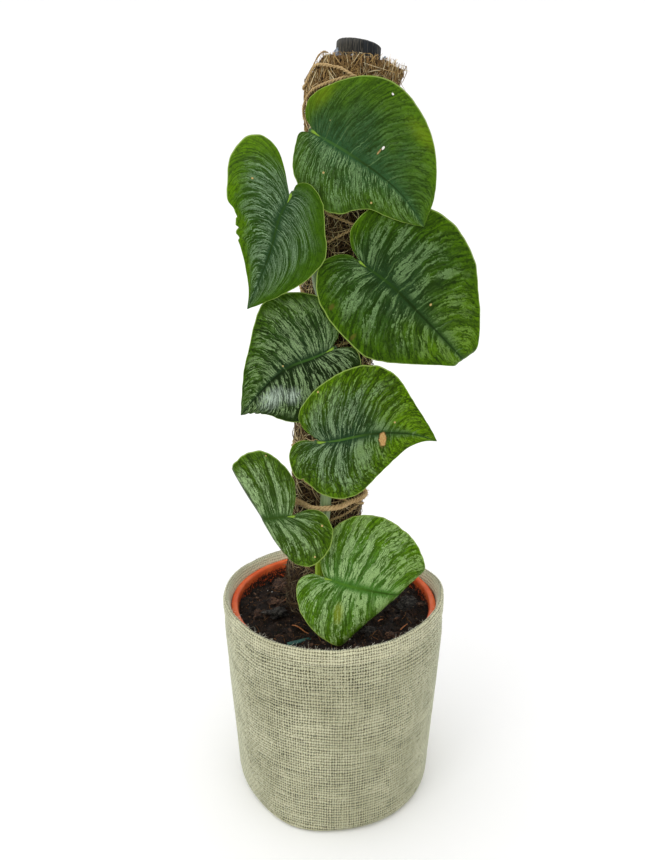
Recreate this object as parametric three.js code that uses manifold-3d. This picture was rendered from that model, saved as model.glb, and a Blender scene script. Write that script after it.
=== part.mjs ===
// A shingling climber (Monstera dubia) on a coir pole, in a nursery pot inside a woven fabric cover.
// Millimetres, +Z up. The origin is the centre of the flat base, and the leaves face -Y.
import * as THREE from "three";
import { mergeVertices } from "three/addons/utils/BufferGeometryUtils.js";
import Module from "manifold-3d";

const wasm = await Module();
wasm.setup();

const gap = 0.3; // air left between pieces that touch
const roundSides = 36; // flats round the cover, the pot and the soil

// Fabric cover, a sewn round bag with a rolled hem
const coverRadius = 81.4;
const coverHeight = 149;
const coverCloth = 2.6;
const coverBaseRadius = 64;
const hemWidth = 4;
const hemDepth = 7;

// Nursery pot
const potRimRadius = 75;
const potRimHeight = 143.8;
const potRimDepth = 9;
const potMouthRadius = 70.2;
const potBaseRadius = 54;
const potWall = 1.6;
const drainHoles = 6;
const drainRadius = 4;
const drainCircle = 36;

// Soil
const soilHeight = 137.5;
const barkChips = 12;

// Pole: a round stake in a sleeve of coir, leaning a little to the right
const poleLean = 3.3;
const poleFootX = -18.2;
const poleFootZ = 12;
const stakeRadius = 13.5;
const stakeTop = 514;
const stakeShift = 2.4;
const coirInner = stakeRadius + 0.4;
const coirRadius = 24.8;
const coirTop = 501.5;
const coirFlare = 2.2;
const coirFlareFrom = 430;

// Twine wound up the pole and back down, and the jute tie that holds the stem
const twineRadius = 0.8;
const twinePitch = 60; // about, between one turn and the next
const twineUp = [[145, -0.163], [380, 3.753], [494, 5.02]]; // height, and turns made from the front
const twineDown = [[145, -0.497], [380, 3.42], [413.8, 4.061], [494, 5.051]]; // the other way round
const twineStandOff = 1.7;
const twineLift = 1.9; // how far the upper strand lifts to pass over the other
const twineLiftSpan = 3.6;
const twineBottom = 145;
const twineTop = 494;
const tieRadius = 1.65;
const tieHeight = 230;
const tieClear = 4.6; // from the coir to the middle of the tie, past the twine
const tieSlope = 0.06;
const tieRise = 1.2; // from one end of the loop to the other
const tieHug = 0.42; // how closely it bends round the stem, in radians
const knotRadius = 3.4;
const tieTail = [[0.5, 0, 0], [3.5, 3, -5], [3, 7, -14], [4, 9, -21]]; // outwards, sideways, down

// Vine stem, with its leaf nodes and aerial roots
const stemRadius = 3.6;
const nodeSwell = 0.5;
const stemStandOff = 7;
const stemBottom = 98;
const stemTop = 474;
const budStretch = 2.6;
const nodeSpan = 4;
const stemTaper = 0.3; // share lost between these two heights
const stemTaperFrom = 380;
const stemTaperTo = 480;
const stemSwing = [ // height, and degrees round the pole from the front
  [98, 2], [150, -4], [190, -9], [232, -2], [300, 3],
  [345, -2], [396, -33], [422, -33], [446, -17], [474, -8],
];
const stemHoleGap = 1.5; // air round the stem where it stands in the soil
const rootRadius = 0.8;
const rootRoute = [[2.4, 8, 0.6], [0.3, 17, 1.6], [0, 33, 3]]; // outwards, degrees round, up or down
const petioleRadius = 1.5;

// Leaf blades
const marginThickness = 0.8;
const ribThickness = 2.2;
const ribWidth = 3;

const degrees = Math.PI / 180;

// Each blade is drawn flat, in millimetres from the junction with its petiole: x runs along the
// midrib to the tip, y to the left of it as seen from the front. Turn, lift and heading are the
// way it faces and the way its tip points. A roll bends the tip back out of sight.
const leaves = {
  leaf_1: {
    junction: [-12.2, -43, 456.9],
    node: 440,
    turn: 8,
    lift: 3,
    heading: -39,
    foldLeft: 6,
    foldRight: 6,
    cup: 130,
    rib: [[21, 4], [43, 7], [62, 7.5]],
    tip: [82, 5],
    left: [[-3, 1.5], [-9, 3], [-14, 12], [-9, 27], [4, 44], [20, 52], [36, 52], [50, 47], [66, 34],
      [78, 18]],
    right: [[-3, -1.5], [-7, -5], [-4, -14], [3, -24], [15, -29.5], [27, -29.5], [38, -25], [45, -16],
      [51, -10], [62, -5]],
  },
  leaf_2: {
    junction: [-26.7, -47, 422.2],
    node: 402,
    turn: -10,
    lift: 0,
    heading: -111,
    foldLeft: 8,
    foldRight: 4,
    cup: 130,
    rib: [[12, -2], [32, -1], [50, -2]],
    tip: [70, -4],
    left: [[-3, 1], [-8, 1], [-11, 7], [-6, 17], [8, 25], [24, 31], [38, 26], [52, 15], [64, 3]],
    right: [[-3, -2], [-13, -8], [-22, -16], [-26, -27], [-22, -37], [-9, -42], [5, -38], [14, -35],
      [18, -29], [30, -24], [42, -15], [58, -6.5]],
  },
  leaf_3: {
    junction: [15.4, -40, 385.2],
    node: 372,
    turn: 14,
    lift: 4,
    heading: -41,
    foldLeft: 5,
    foldRight: 5,
    cup: 160,
    rib: [[23, 2.5], [48, 2], [70, 1.5], [92, 1]],
    tip: [110, 1],
    left: [[-3, 1.5], [-11, 3], [-18, 11], [-17, 27], [-5, 43.5], [12, 53.5], [31, 58], [47, 56],
      [60, 50], [70, 40], [88, 24], [100, 10]],
    right: [[-4, -1], [-8, -0.5], [-16, -7], [-19, -17], [-11, -30], [3, -37], [22, -40], [38, -40],
      [50, -35], [68, -23], [90, -7.5]],
    roll: { from: 94, skew: 0, radius: 7, most: 120 },
  },
  leaf_4: {
    junction: [-3.4, -40, 333.6],
    node: 316,
    turn: -7,
    lift: 3,
    heading: -144,
    foldLeft: 4,
    foldRight: 6,
    cup: 140,
    rib: [[11, -2], [26, -6], [39, -6], [52, -4]],
    tip: [73, 1],
    left: [[-3, 1.5], [-8, 3], [-13, 8], [-12, 16], [-2, 24], [10, 30], [24, 32.5], [37, 30], [50, 20],
      [57, 11], [65, 5]],
    right: [[-3, -1.5], [-10, -5], [-16, -15], [-14, -29], [-3, -41], [9, -47], [20, -46.5], [34, -37],
      [50, -23.5], [64, -9]],
  },
  leaf_5: {
    junction: [-8.9, -49, 277.3],
    node: 259,
    turn: 2,
    lift: -1,
    heading: 0,
    foldLeft: 4,
    foldRight: 6,
    cup: 140,
    rib: [[10, 1], [22, 3.5], [33, 5], [47, 5], [60, 3]],
    tip: [74, -2],
    left: [[-3, 3], [-10, 8], [-14, 17], [-6, 31], [7, 41], [22, 47], [36, 47], [47, 40.5], [58, 24],
      [68, 9]],
    right: [[-3, -0.5], [-10, 1.5], [-17, -1], [-20, -9], [-16, -23], [-9, -27], [0, -35], [14, -38],
      [25, -34], [40, -19], [55, -5], [66, -1.5]],
  },
  leaf_6: {
    junction: [-28.2, -44, 225.8],
    node: 199,
    turn: -14,
    lift: 8,
    heading: -177,
    foldLeft: 12,
    foldRight: 6,
    cup: 110,
    rib: [[8, 1], [20, 3], [34, 5], [46, 6]],
    tip: [58, 6],
    left: [[-3, -2], [-12, -5], [-20, -3.5], [-27, 8], [-24, 22], [-13, 32], [-2, 31], [9, 25.5],
      [23, 19], [42, 12]],
    right: [[-1, -3], [-3, -12], [-2, -24], [6, -34], [20, -42], [33, -39], [43, -30], [50, -19],
      [55, -6]],
    roll: { from: 17, skew: 33.5, radius: 7, most: 130 },
  },
  leaf_7: {
    junction: [-4.5, -47, 182.7],
    node: 160,
    turn: 8,
    lift: 19,
    heading: -8,
    foldLeft: 6,
    foldRight: 4,
    cup: 220,
    rib: [[11, -3], [30, -6], [45, -7.5], [60, -10]],
    tip: [74, -14],
    left: [[-3, 1.5], [-7, 14], [-4, 27], [7, 39], [20, 44], [35, 43], [48, 37], [58, 28.5], [65, 17],
      [69, 3]],
    right: [[-3, -0.5], [-9, 2.5], [-17, 0], [-20, -6], [-17, -21], [-8, -33], [3, -40.5], [14, -44],
      [28, -42.5], [43, -35], [60, -23]],
    roll: { from: 49, skew: -46, radius: 8, most: 130 },
  },
};
const lengthwiseBend = 400;
const lobeBend = 160;
const marginWave = 0.9;

// Turns a surface into one merged, outward facing, closed mesh.
function closed(geometry) {
  const bare = geometry.clone();
  bare.deleteAttribute("normal");
  bare.deleteAttribute("uv");
  const merged = mergeVertices(bare, 1e-3);
  const place = merged.attributes.position;
  const kept = [];
  let volume = 0;
  const [a, b, c] = [new THREE.Vector3(), new THREE.Vector3(), new THREE.Vector3()];
  for (let i = 0; i < merged.index.count; i += 3) {
    const corners = [0, 1, 2].map((k) => merged.index.getX(i + k));
    if (new Set(corners).size < 3) {
      continue;
    }
    a.fromBufferAttribute(place, corners[0]);
    b.fromBufferAttribute(place, corners[1]);
    c.fromBufferAttribute(place, corners[2]);
    volume += a.dot(b.cross(c));
    kept.push(...corners);
  }
  if (volume < 0) {
    kept.reverse();
  }
  merged.setIndex(kept);
  return merged;
}

function toSolid(geometry) {
  const merged = closed(geometry);
  return new wasm.Manifold(new wasm.Mesh({
    numProp: 3,
    vertProperties: new Float32Array(merged.attributes.position.array),
    triVerts: new Uint32Array(merged.index.array),
  }));
}

function toGeometry(solid) {
  const mesh = solid.getMesh();
  const geometry = new THREE.BufferGeometry();
  geometry.setAttribute("position", new THREE.BufferAttribute(new Float32Array(mesh.vertProperties), 3));
  geometry.setIndex(new THREE.BufferAttribute(new Uint32Array(mesh.triVerts), 1));
  return geometry;
}

// The outer skin of a fused solid, with sealed hollows filled and loose scraps dropped.
function outerSkin(solid) {
  return solid.decompose().reduce((largest, body) => (body.volume() > largest.volume() ? body : largest));
}

function piece(name, geometry, colour, roughness, metalness = 0) {
  const material = new THREE.MeshStandardMaterial({ color: colour, roughness, metalness });
  const mesh = new THREE.Mesh(closed(geometry), material);
  mesh.name = name;
  return mesh;
}

// A profile of [radius, height] pairs, spun about the Z axis.
function spun(profile, sides) {
  const points = profile.map(([radius, height]) => new THREE.Vector2(radius, height));
  return new THREE.LatheGeometry(points, sides).rotateX(Math.PI / 2);
}

// Moves every vertex by a rule that reads and changes one point.
function shaped(geometry, rule) {
  const place = geometry.attributes.position;
  const point = new THREE.Vector3();
  for (let i = 0; i < place.count; i += 1) {
    point.fromBufferAttribute(place, i);
    rule(point);
    place.setXYZ(i, point.x, point.y, point.z);
  }
  return geometry;
}

function tube(points, radius, sides, steps) {
  const ring = [];
  for (let i = 0; i < sides; i += 1) {
    const angle = (i / sides) * 2 * Math.PI;
    ring.push(new THREE.Vector2(radius * Math.cos(angle), radius * Math.sin(angle)));
  }
  const corners = points.map((point) => new THREE.Vector3(...point));
  const extrudePath = new THREE.CatmullRomCurve3(corners, false, "centripetal");
  return new THREE.ExtrudeGeometry(new THREE.Shape(ring), { steps, extrudePath, bevelEnabled: false });
}

function smoothStep(value, from, to) {
  const t = Math.min(Math.max((value - from) / (to - from), 0), 1);
  return t * t * (3 - 2 * t);
}

function fabricCover() {
  const hemLow = coverHeight - hemDepth;
  const inside = coverRadius - hemWidth;
  const wall = [[74.4, 20], [75.3, 38], [76.3, 60], [77.8, 98], [79.4, 124]];
  const profile = [
    [0, 0], [coverBaseRadius, 0], [69.5, 1.4], [72.6, 5], [73.9, 11], ...wall,
    [80.2, hemLow - 1], [coverRadius - 0.2, hemLow + 1], [coverRadius, coverHeight - 2.5],
    [coverRadius - 1.2, coverHeight], [inside + 1, coverHeight], [inside, coverHeight - 2], [inside, hemLow],
    ...wall.map(([radius, height]) => [radius - coverCloth, height]).reverse(),
    [70.9, 12], [69, 6.4], [66, 3.4], [coverBaseRadius - 2, coverCloth], [0, coverCloth],
  ];
  const sag = (point) => {
    const up = smoothStep(point.z, 6, 60);
    const angle = Math.atan2(point.y, point.x);
    const push = 1 + up * (0.004 * Math.sin(2 * angle + 0.6) + 0.003 * Math.sin(3 * angle + point.z / 40));
    point.x *= push;
    point.y *= push;
    point.z += 0.8 * smoothStep(point.z, 90, coverHeight) * Math.sin(2 * angle + 2.2);
  };
  return piece("fabric_cover", shaped(spun(profile, roundSides), sag), 0xc9c5ae, 0.95);
}

// Inner radius of the nursery pot at a height
function potInside(height) {
  const floor = coverCloth + gap;
  const slope = (potMouthRadius - (potBaseRadius - potWall)) / (potRimHeight - floor);
  return potBaseRadius - potWall + slope * (height - floor);
}

function nurseryPot() {
  const floor = coverCloth + gap;
  const skirt = potRimHeight - potRimDepth;
  const profile = [
    [0, floor], [potBaseRadius - 2, floor], [potBaseRadius, floor + 2], [potInside(skirt) + potWall, skirt],
    [potRimRadius, skirt + 0.6], [potRimRadius, potRimHeight - 1.5], [potRimRadius - 1.5, potRimHeight],
    [potMouthRadius + 1, potRimHeight], [potMouthRadius, potRimHeight - 1], [potInside(skirt), skirt],
    [potInside(floor + 4), floor + 4], [potInside(floor) - 2, floor + 2], [0, floor + 2],
  ];
  let pot = toSolid(spun(profile, roundSides));
  for (let i = 0; i < drainHoles; i += 1) {
    const angle = (i / drainHoles) * 2 * Math.PI;
    const drill = new THREE.CylinderGeometry(drainRadius, drainRadius, 10, 12).rotateX(Math.PI / 2);
    drill.translate(drainCircle * Math.cos(angle), drainCircle * Math.sin(angle), floor);
    pot = pot.subtract(toSolid(drill));
  }
  return piece("nursery_pot", toGeometry(pot), 0xb5471f, 0.45);
}

function soilSurface(x, y) {
  const lumps = 1.5 * Math.sin(x / 5.3 + 1.2) * Math.cos(y / 6.1) + 1.1 * Math.sin(x / 3.1 - y / 3.7)
    + 0.8 * Math.cos(x / 9 + y / 4.3);
  const wallDrop = 1.8 * smoothStep(Math.hypot(x, y), 50, 68);
  return soilHeight + lumps - wallDrop;
}

function soil(pole, stem, stick) {
  const floor = coverCloth + 2 * gap + 2;
  const rings = [64, 58, 52, 46, 40, 33, 26];
  const edge = potInside(soilHeight - 4) - gap - 0.2;
  const profile = [
    [0, floor], [potInside(floor) - 2.5, floor], [potInside(floor + 4) - gap - 0.2, floor + 4],
    [edge, soilHeight - 4], ...rings.map((radius) => [radius, soilHeight]), [0, soilHeight],
  ];
  const lumpy = (point) => {
    if (point.z > soilHeight - 5) {
      const reach = Math.hypot(point.x, point.y);
      point.z = soilSurface(point.x, point.y) - (reach > 65 ? 2 : 0);
    }
  };
  let body = toSolid(shaped(spun(profile, roundSides), lumpy));
  for (let i = 0; i < barkChips; i += 1) {
    const angle = i * 2.4 + 0.5;
    const reach = 37 + 23 * ((i * 0.618) % 1);
    const chip = new THREE.BoxGeometry(5 + (i % 4) * 1.6, 3.6 + (i % 3), 4.5);
    chip.rotateX(0.35 * Math.sin(i * 1.7)).rotateY(0.4 * Math.cos(i * 2.3)).rotateZ(i * 1.3);
    const [x, y] = [reach * Math.cos(angle), reach * Math.sin(angle)];
    chip.translate(x, y, soilSurface(x, y) + 0.2);
    body = body.add(toSolid(chip));
  }
  body = body.subtract(toSolid(pole)).subtract(toSolid(stem)).subtract(toSolid(stick));
  return piece("soil", toGeometry(outerSkin(body)), 0x241a13, 1);
}

function coirOuter(height) {
  return coirRadius + coirFlare * smoothStep(height, coirFlareFrom, coirTop);
}

function supportStake() {
  const profile = [
    [0, poleFootZ], [stakeRadius, poleFootZ], [stakeRadius, 170], [stakeRadius, 340],
    [stakeRadius, stakeTop - 1.5], [stakeRadius - 1.5, stakeTop], [0, stakeTop],
  ];
  const sawnTop = (point) => {
    if (point.z > stakeTop - 3) {
      point.z += 0.05 * point.x + 0.03 * point.y;
    }
    point.x += stakeShift;
  };
  return piece("support_stake", shaped(spun(profile, 28), sawnTop), 0x3f3a33, 0.85);
}

function coirWrap() {
  const profile = [[coirInner, poleFootZ], [coirRadius - 0.6, poleFootZ]];
  for (let height = 60; height < coirTop - 4; height += 22) {
    profile.push([coirOuter(height), height]);
  }
  profile.push([coirOuter(coirTop), coirTop - 3], [coirOuter(coirTop) - 2.5, coirTop], [20, coirTop + 0.5]);
  profile.push([coirInner, coirTop - 1]);
  profile.push([coirInner, poleFootZ]);
  const tufted = (point) => {
    const reach = Math.hypot(point.x, point.y);
    if (reach < coirInner + 1) {
      point.x += stakeShift;
      return;
    }
    const angle = Math.atan2(point.y, point.x);
    const dent = 0.5 + 0.3 * Math.sin(3 * angle + point.z / 17) + 0.2 * Math.sin(7 * angle - point.z / 9);
    const above = smoothStep(point.z, soilHeight + 4, soilHeight + 20);
    const scale = 1 - (dent * above) / reach;
    point.x *= scale;
    point.y *= scale;
    if (point.z > coirTop - 4) {
      point.z += 1.4 * Math.sin(5 * angle + 1) + 0.9 * Math.sin(11 * angle);
    }
  };
  return piece("coir_wrap", shaped(spun(profile, 28), tufted), 0x6b4a2a, 1);
}

// Turns made round the pole at a height by the twine going up (hand 1) or coming down (hand -1)
function twineTurns(height, hand) {
  const marks = hand > 0 ? twineUp : twineDown;
  const next = marks.findIndex(([mark], i) => i > 0 && (height <= mark || i === marks.length - 1));
  const [[from, start], [to, end]] = [marks[next - 1], marks[next]];
  return start + ((end - start) * (height - from)) / (to - from);
}

// Where the twine passes at a height. Where the two ways meet, the one coming down lies on top.
function twinePoint(height, hand) {
  const angle = -Math.PI / 2 + hand * 2 * Math.PI * twineTurns(height, hand);
  const met = twineTurns(height, 1) + twineTurns(height, -1);
  const toCrossing = ((met - Math.round(met)) * twinePitch) / 2;
  const over = hand > 0 ? 0 : twineLift * Math.exp(-((toCrossing / twineLiftSpan) ** 2));
  const reach = coirOuter(height) + twineStandOff + over;
  return [reach * Math.cos(angle), reach * Math.sin(angle), height];
}

function twineBinding() {
  const stepsPerTurn = 18;
  const step = twinePitch / stepsPerTurn;
  const route = [];
  for (let height = twineBottom; height <= twineTop; height += step) {
    route.push(twinePoint(height, 1));
  }
  const [upX, upY] = twinePoint(twineTop, 1);
  const [downX, downY] = twinePoint(twineTop, -1);
  const from = Math.atan2(upY, upX);
  const turn = (Math.atan2(downY, downX) - from + 4 * Math.PI) % (2 * Math.PI);
  const ring = Math.hypot(upX, upY);
  for (let angle = 0.3; angle < turn - 0.2; angle += 0.38) {
    route.push([ring * Math.cos(from + angle), ring * Math.sin(from + angle), twineTop + 0.6]);
  }
  for (let height = twineTop; height >= twineBottom + 6; height -= step) {
    route.push(twinePoint(height, -1));
  }
  return piece("twine_binding", tube(route, twineRadius, 4, route.length - 1), 0xa98a5f, 1);
}

// Centre of the vine stem at a height, in the pole's own frame
function stemCentre(height) {
  let angle = stemSwing[stemSwing.length - 1][1];
  for (let i = 0; i < stemSwing.length - 1; i += 1) {
    const [[from, start], [to, end]] = [stemSwing[i], stemSwing[i + 1]];
    if (height >= from && height <= to) {
      angle = start + (end - start) * smoothStep(height, from, to);
    }
  }
  const reach = coirOuter(height) + stemStandOff;
  return new THREE.Vector3(reach * Math.sin(angle * degrees), -reach * Math.cos(angle * degrees), height);
}

function stemSize(height) {
  const swell = Object.values(leaves).reduce((most, leaf) => {
    return Math.max(most, Math.exp(-(((height - leaf.node) / nodeSpan) ** 2)));
  }, 0);
  const taper = 1 - stemTaper * smoothStep(height, stemTaperFrom, stemTaperTo);
  return (stemRadius + nodeSwell * swell) * taper;
}

function stemTube(from, to, steps, sides, extra) {
  const route = [];
  for (let i = 0; i <= steps; i += 1) {
    route.push(stemCentre(from + ((to - from) * i) / steps).toArray());
  }
  return shaped(tube(route, 1, sides, steps), (point) => {
    const centre = stemCentre(Math.min(Math.max(point.z, from), to));
    const wanted = stemSize(point.z) + extra;
    point.x = centre.x + (point.x - centre.x) * wanted;
    point.y = centre.y + (point.y - centre.y) * wanted;
  });
}

function vineStem() {
  let stem = toSolid(stemTube(stemBottom, stemTop, 44, 8, 0));
  const bud = new THREE.SphereGeometry(stemSize(stemTop) * 0.98, 8, 6).scale(1, 1, budStretch);
  bud.translate(...stemCentre(stemTop).toArray());
  stem = stem.add(toSolid(bud));
  for (const leaf of Object.values(leaves)) {
    for (const side of [-1, 1]) {
      const centre = stemCentre(leaf.node);
      const facing = Math.atan2(centre.y, centre.x);
      const reach = coirOuter(leaf.node) + gap + 0.3 + rootRadius;
      const route = [[Math.hypot(centre.x, centre.y) - reach, 0, 0], ...rootRoute];
      const points = route.map(([away, swing, climb]) => {
        const out = reach + away;
        const angle = facing + side * swing * degrees;
        return [out * Math.cos(angle), out * Math.sin(angle), leaf.node + side * climb];
      });
      stem = stem.add(toSolid(tube(points, rootRadius, 4, 5)));
    }
  }
  return piece("vine_stem", toGeometry(outerSkin(stem)), 0x6f8a3c, 0.6);
}

function stemTie() {
  const around = coirRadius + tieClear;
  const front = Math.atan2(stemCentre(tieHeight).y, stemCentre(tieHeight).x);
  const bulge = stemStandOff + stemRadius + gap + tieRadius - tieClear;
  const sides = 30;
  const route = [];
  for (let i = 0; i <= sides; i += 1) {
    const angle = front + Math.PI + (i / sides) * 2 * Math.PI * 0.985;
    const off = Math.atan2(Math.sin(angle - front), Math.cos(angle - front));
    const reach = around + bulge * Math.exp(-((off / tieHug) ** 2));
    const x = reach * Math.cos(angle);
    route.push([x, reach * Math.sin(angle), tieHeight + tieSlope * x + (i / sides) * tieRise]);
  }
  let tie = toSolid(tube(route, tieRadius, 6, 34));
  const back = front + Math.PI;
  const knot = new THREE.SphereGeometry(knotRadius, 8, 5).scale(0.75, 1.15, 0.9).rotateZ(back);
  const knotReach = around + tieRise / 2;
  const knotX = knotReach * Math.cos(back);
  knot.translate(knotX, knotReach * Math.sin(back), tieHeight + tieSlope * knotX + tieRise / 2);
  tie = tie.add(toSolid(knot));
  for (const side of [-1, 1]) {
    const tail = tieTail.map(([out, across, drop]) => [
      knotX + out * Math.cos(back) - side * across * Math.sin(back),
      (knotReach + out) * Math.sin(back) + side * across * Math.cos(back),
      tieHeight + drop,
    ]);
    tie = tie.add(toSolid(tube(tail, tieRadius * 0.85, 6, 5)));
  }
  return piece("stem_tie", toGeometry(outerSkin(tie)), 0xb08d5c, 1);
}

// Height of a blade's upper face over its flat drawing: a fold at the midrib, a rounded back and
// a bend along its length.
function bladeHeight(leaf, x, y) {
  const away = Math.abs(y);
  const fold = Math.tan((y >= 0 ? leaf.foldLeft : leaf.foldRight) * degrees);
  const bend = x > 0 ? lengthwiseBend : lobeBend;
  return fold * (Math.hypot(away, 3) - 3) - (away * away) / (2 * leaf.cup) - (x * x) / (2 * bend);
}

function bladePoint(leaf, x, y) {
  const height = bladeHeight(leaf, x, y);
  if (!leaf.roll) {
    return new THREE.Vector3(x, y, height);
  }
  const { from, skew, radius, most } = leaf.roll;
  const [c, s] = [Math.cos(skew * degrees), Math.sin(skew * degrees)];
  const past = (x - from) * c + y * s;
  if (past <= 0) {
    return new THREE.Vector3(x, y, height);
  }
  const [footX, footY] = [x - past * c, y - past * s];
  const foot = bladeHeight(leaf, footX, footY);
  const start = -Math.atan((bladeHeight(leaf, footX + c, footY + s) - foot));
  const end = Math.min(start + past / radius, most * degrees);
  const straight = past - (end - start) * radius;
  const along = radius * (Math.sin(end) - Math.sin(start)) + straight * Math.cos(end);
  const drop = radius * (Math.cos(start) - Math.cos(end)) + straight * Math.sin(end);
  return new THREE.Vector3(footX + along * c, footY + along * s, foot - drop);
}

// Points of one half of a blade: rows run from the midrib to the margin, and their feet slide
// from the junction to the tip.
function bladeHalf(leaf, outline, side) {
  const rows = 15;
  const across = [0, 0.1, 0.3, 0.5, 0.68, 0.84, 1];
  const flat = (points) => {
    const corners = points.map(([x, y]) => new THREE.Vector3(x, y, 0));
    return new THREE.CatmullRomCurve3(corners, false, "centripetal");
  };
  const margin = flat([...outline, leaf.tip]).getSpacedPoints(rows);
  const rib = flat([[0, 0], ...leaf.rib, leaf.tip]);
  return margin.map((edge, row) => {
    const share = row / rows;
    const foot = rib.getPointAt(share ** 1.9);
    return across.map((out) => {
      const x = foot.x + (edge.x - foot.x) * out;
      const y = foot.y + (edge.y - foot.y) * out;
      const upper = bladePoint(leaf, x, y);
      const normal = bladePoint(leaf, x + 0.5, y).sub(bladePoint(leaf, x - 0.5, y))
        .cross(bladePoint(leaf, x, y + 0.5).sub(bladePoint(leaf, x, y - 0.5))).normalize();
      const wave = marginWave * out ** 3 * Math.sin(share * 17 + side) * Math.sin(share * Math.PI);
      upper.addScaledVector(normal, wave);
      const fromRib = Math.hypot(x - foot.x, y - foot.y) / ribWidth;
      const ribHeight = (ribThickness - marginThickness) * (1 - 0.6 * share) * Math.exp(-(fromRib ** 2));
      return [upper, upper.clone().addScaledVector(normal, -marginThickness - ribHeight)];
    });
  });
}

function blade(leaf) {
  const corners = [];
  const add = (flip, ...points) => {
    const order = flip ? points.reverse() : points;
    for (let i = 1; i < order.length - 1; i += 1) {
      corners.push(...order[0].toArray(), ...order[i].toArray(), ...order[i + 1].toArray());
    }
  };
  for (const [outline, side] of [[leaf.left, 1], [leaf.right, -1]]) {
    const half = bladeHalf(leaf, outline, side);
    const flip = side < 0;
    const last = half[0].length - 1;
    half.slice(0, -1).forEach((row, i) => {
      const next = half[i + 1];
      for (let j = 0; j < last; j += 1) {
        add(flip, row[j][0], next[j][0], next[j + 1][0]);
        add(flip, row[j][0], next[j + 1][0], row[j + 1][0]);
        add(!flip, row[j][1], next[j][1], next[j + 1][1]);
        add(!flip, row[j][1], next[j + 1][1], row[j + 1][1]);
      }
      add(flip, row[last][0], next[last][0], next[last][1]);
      add(flip, row[last][0], next[last][1], row[last][1]);
    });
    for (let j = 0; j < last; j += 1) {
      const [inner, outer] = [half[0][j], half[0][j + 1]];
      add(flip, inner[0], outer[0], outer[1]);
      add(flip, inner[0], outer[1], inner[1]);
    }
  }
  const geometry = new THREE.BufferGeometry();
  geometry.setAttribute("position", new THREE.Float32BufferAttribute(corners, 3));
  return geometry;
}

// Matrix from a blade's own frame to the object's
function leafPlace(leaf) {
  const [turn, lift, heading] = [leaf.turn * degrees, leaf.lift * degrees, leaf.heading * degrees];
  const level = new THREE.Vector3(Math.cos(turn), Math.sin(turn), 0);
  const front = new THREE.Vector3(Math.sin(turn), -Math.cos(turn), 0);
  const facing = front.multiplyScalar(Math.cos(lift)).add(new THREE.Vector3(0, 0, Math.sin(lift)));
  const rising = facing.clone().cross(level);
  const along = level.clone().multiplyScalar(Math.cos(heading)).addScaledVector(rising, Math.sin(heading));
  const across = level.clone().multiplyScalar(-Math.sin(heading)).addScaledVector(rising, Math.cos(heading));
  return new THREE.Matrix4().makeBasis(along, across, facing).setPosition(...leaf.junction);
}

// The petiole leaves the stem square to it at its node, and meets the blade from behind at the junction.
function petiole(leaf, poleMatrix, toLeaf) {
  const root = stemCentre(leaf.node).applyMatrix4(poleMatrix);
  const outwards = new THREE.Vector3(leaf.junction[0] - root.x, leaf.junction[1] - root.y, 0).normalize();
  const start = root.clone().addScaledVector(outwards, stemSize(leaf.node) + gap + 0.1);
  const leaving = start.clone().addScaledVector(outwards, 2.2).add(new THREE.Vector3(0, 0, 0.8));
  const neck = new THREE.Vector3(-1.6, 0, -2.6);
  const joint = new THREE.Vector3(2.5, 0.2, -1.1);
  const route = [start.applyMatrix4(toLeaf), leaving.applyMatrix4(toLeaf), neck, joint];
  return tube(route.map((point) => point.toArray()), petioleRadius, 6, 8);
}

function leafPiece(name, leaf, poleMatrix) {
  const place = leafPlace(leaf);
  const stalk = petiole(leaf, poleMatrix, place.clone().invert());
  const mesh = piece(name, toGeometry(outerSkin(toSolid(blade(leaf)).add(toSolid(stalk)))), 0x2f6a2c, 0.45);
  place.decompose(mesh.position, mesh.quaternion, mesh.scale);
  return mesh;
}

function splitStick(grown) {
  const stick = new THREE.CylinderGeometry(1.6 + grown, 1.5 + grown, 19 + 2 * grown, 8);
  stick.scale(1, 1, 0.8).rotateZ(Math.PI / 2).rotateY(-4 * degrees).rotateZ(17 * degrees);
  return stick.translate(-22.6, -50, soilHeight + 0.8);
}

const plant = new THREE.Group();
const pole = new THREE.Group();
pole.position.set(poleFootX, 0, 0);
pole.rotation.y = poleLean * degrees;
pole.updateMatrix();
pole.add(supportStake(), coirWrap(), twineBinding(), vineStem(), stemTie());

const holeRadius = coirRadius + 0.5;
const holeTop = 160; // above the soil
const holeProfile = [[0, poleFootZ - 1], [holeRadius, poleFootZ - 1], [holeRadius, holeTop], [0, holeTop]];
const poleHole = spun(holeProfile, roundSides);
const stemHole = stemTube(stemBottom - 2, holeTop - 10, 14, 14, stemHoleGap);
plant.add(fabricCover(), nurseryPot(), pole);
plant.add(soil(poleHole.applyMatrix4(pole.matrix), stemHole.applyMatrix4(pole.matrix), splitStick(gap)));
plant.add(piece("split_stick", splitStick(0), 0x1f4a44, 0.6));
for (const [name, leaf] of Object.entries(leaves)) {
  plant.add(leafPiece(name, leaf, pole.matrix));
}

export default plant;
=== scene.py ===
import random
from math import atan, atan2, cos, exp, hypot, pi, radians, sin, sqrt, tan, tau

import bmesh
import bpy
from mathutils import Matrix, Vector, noise


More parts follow.
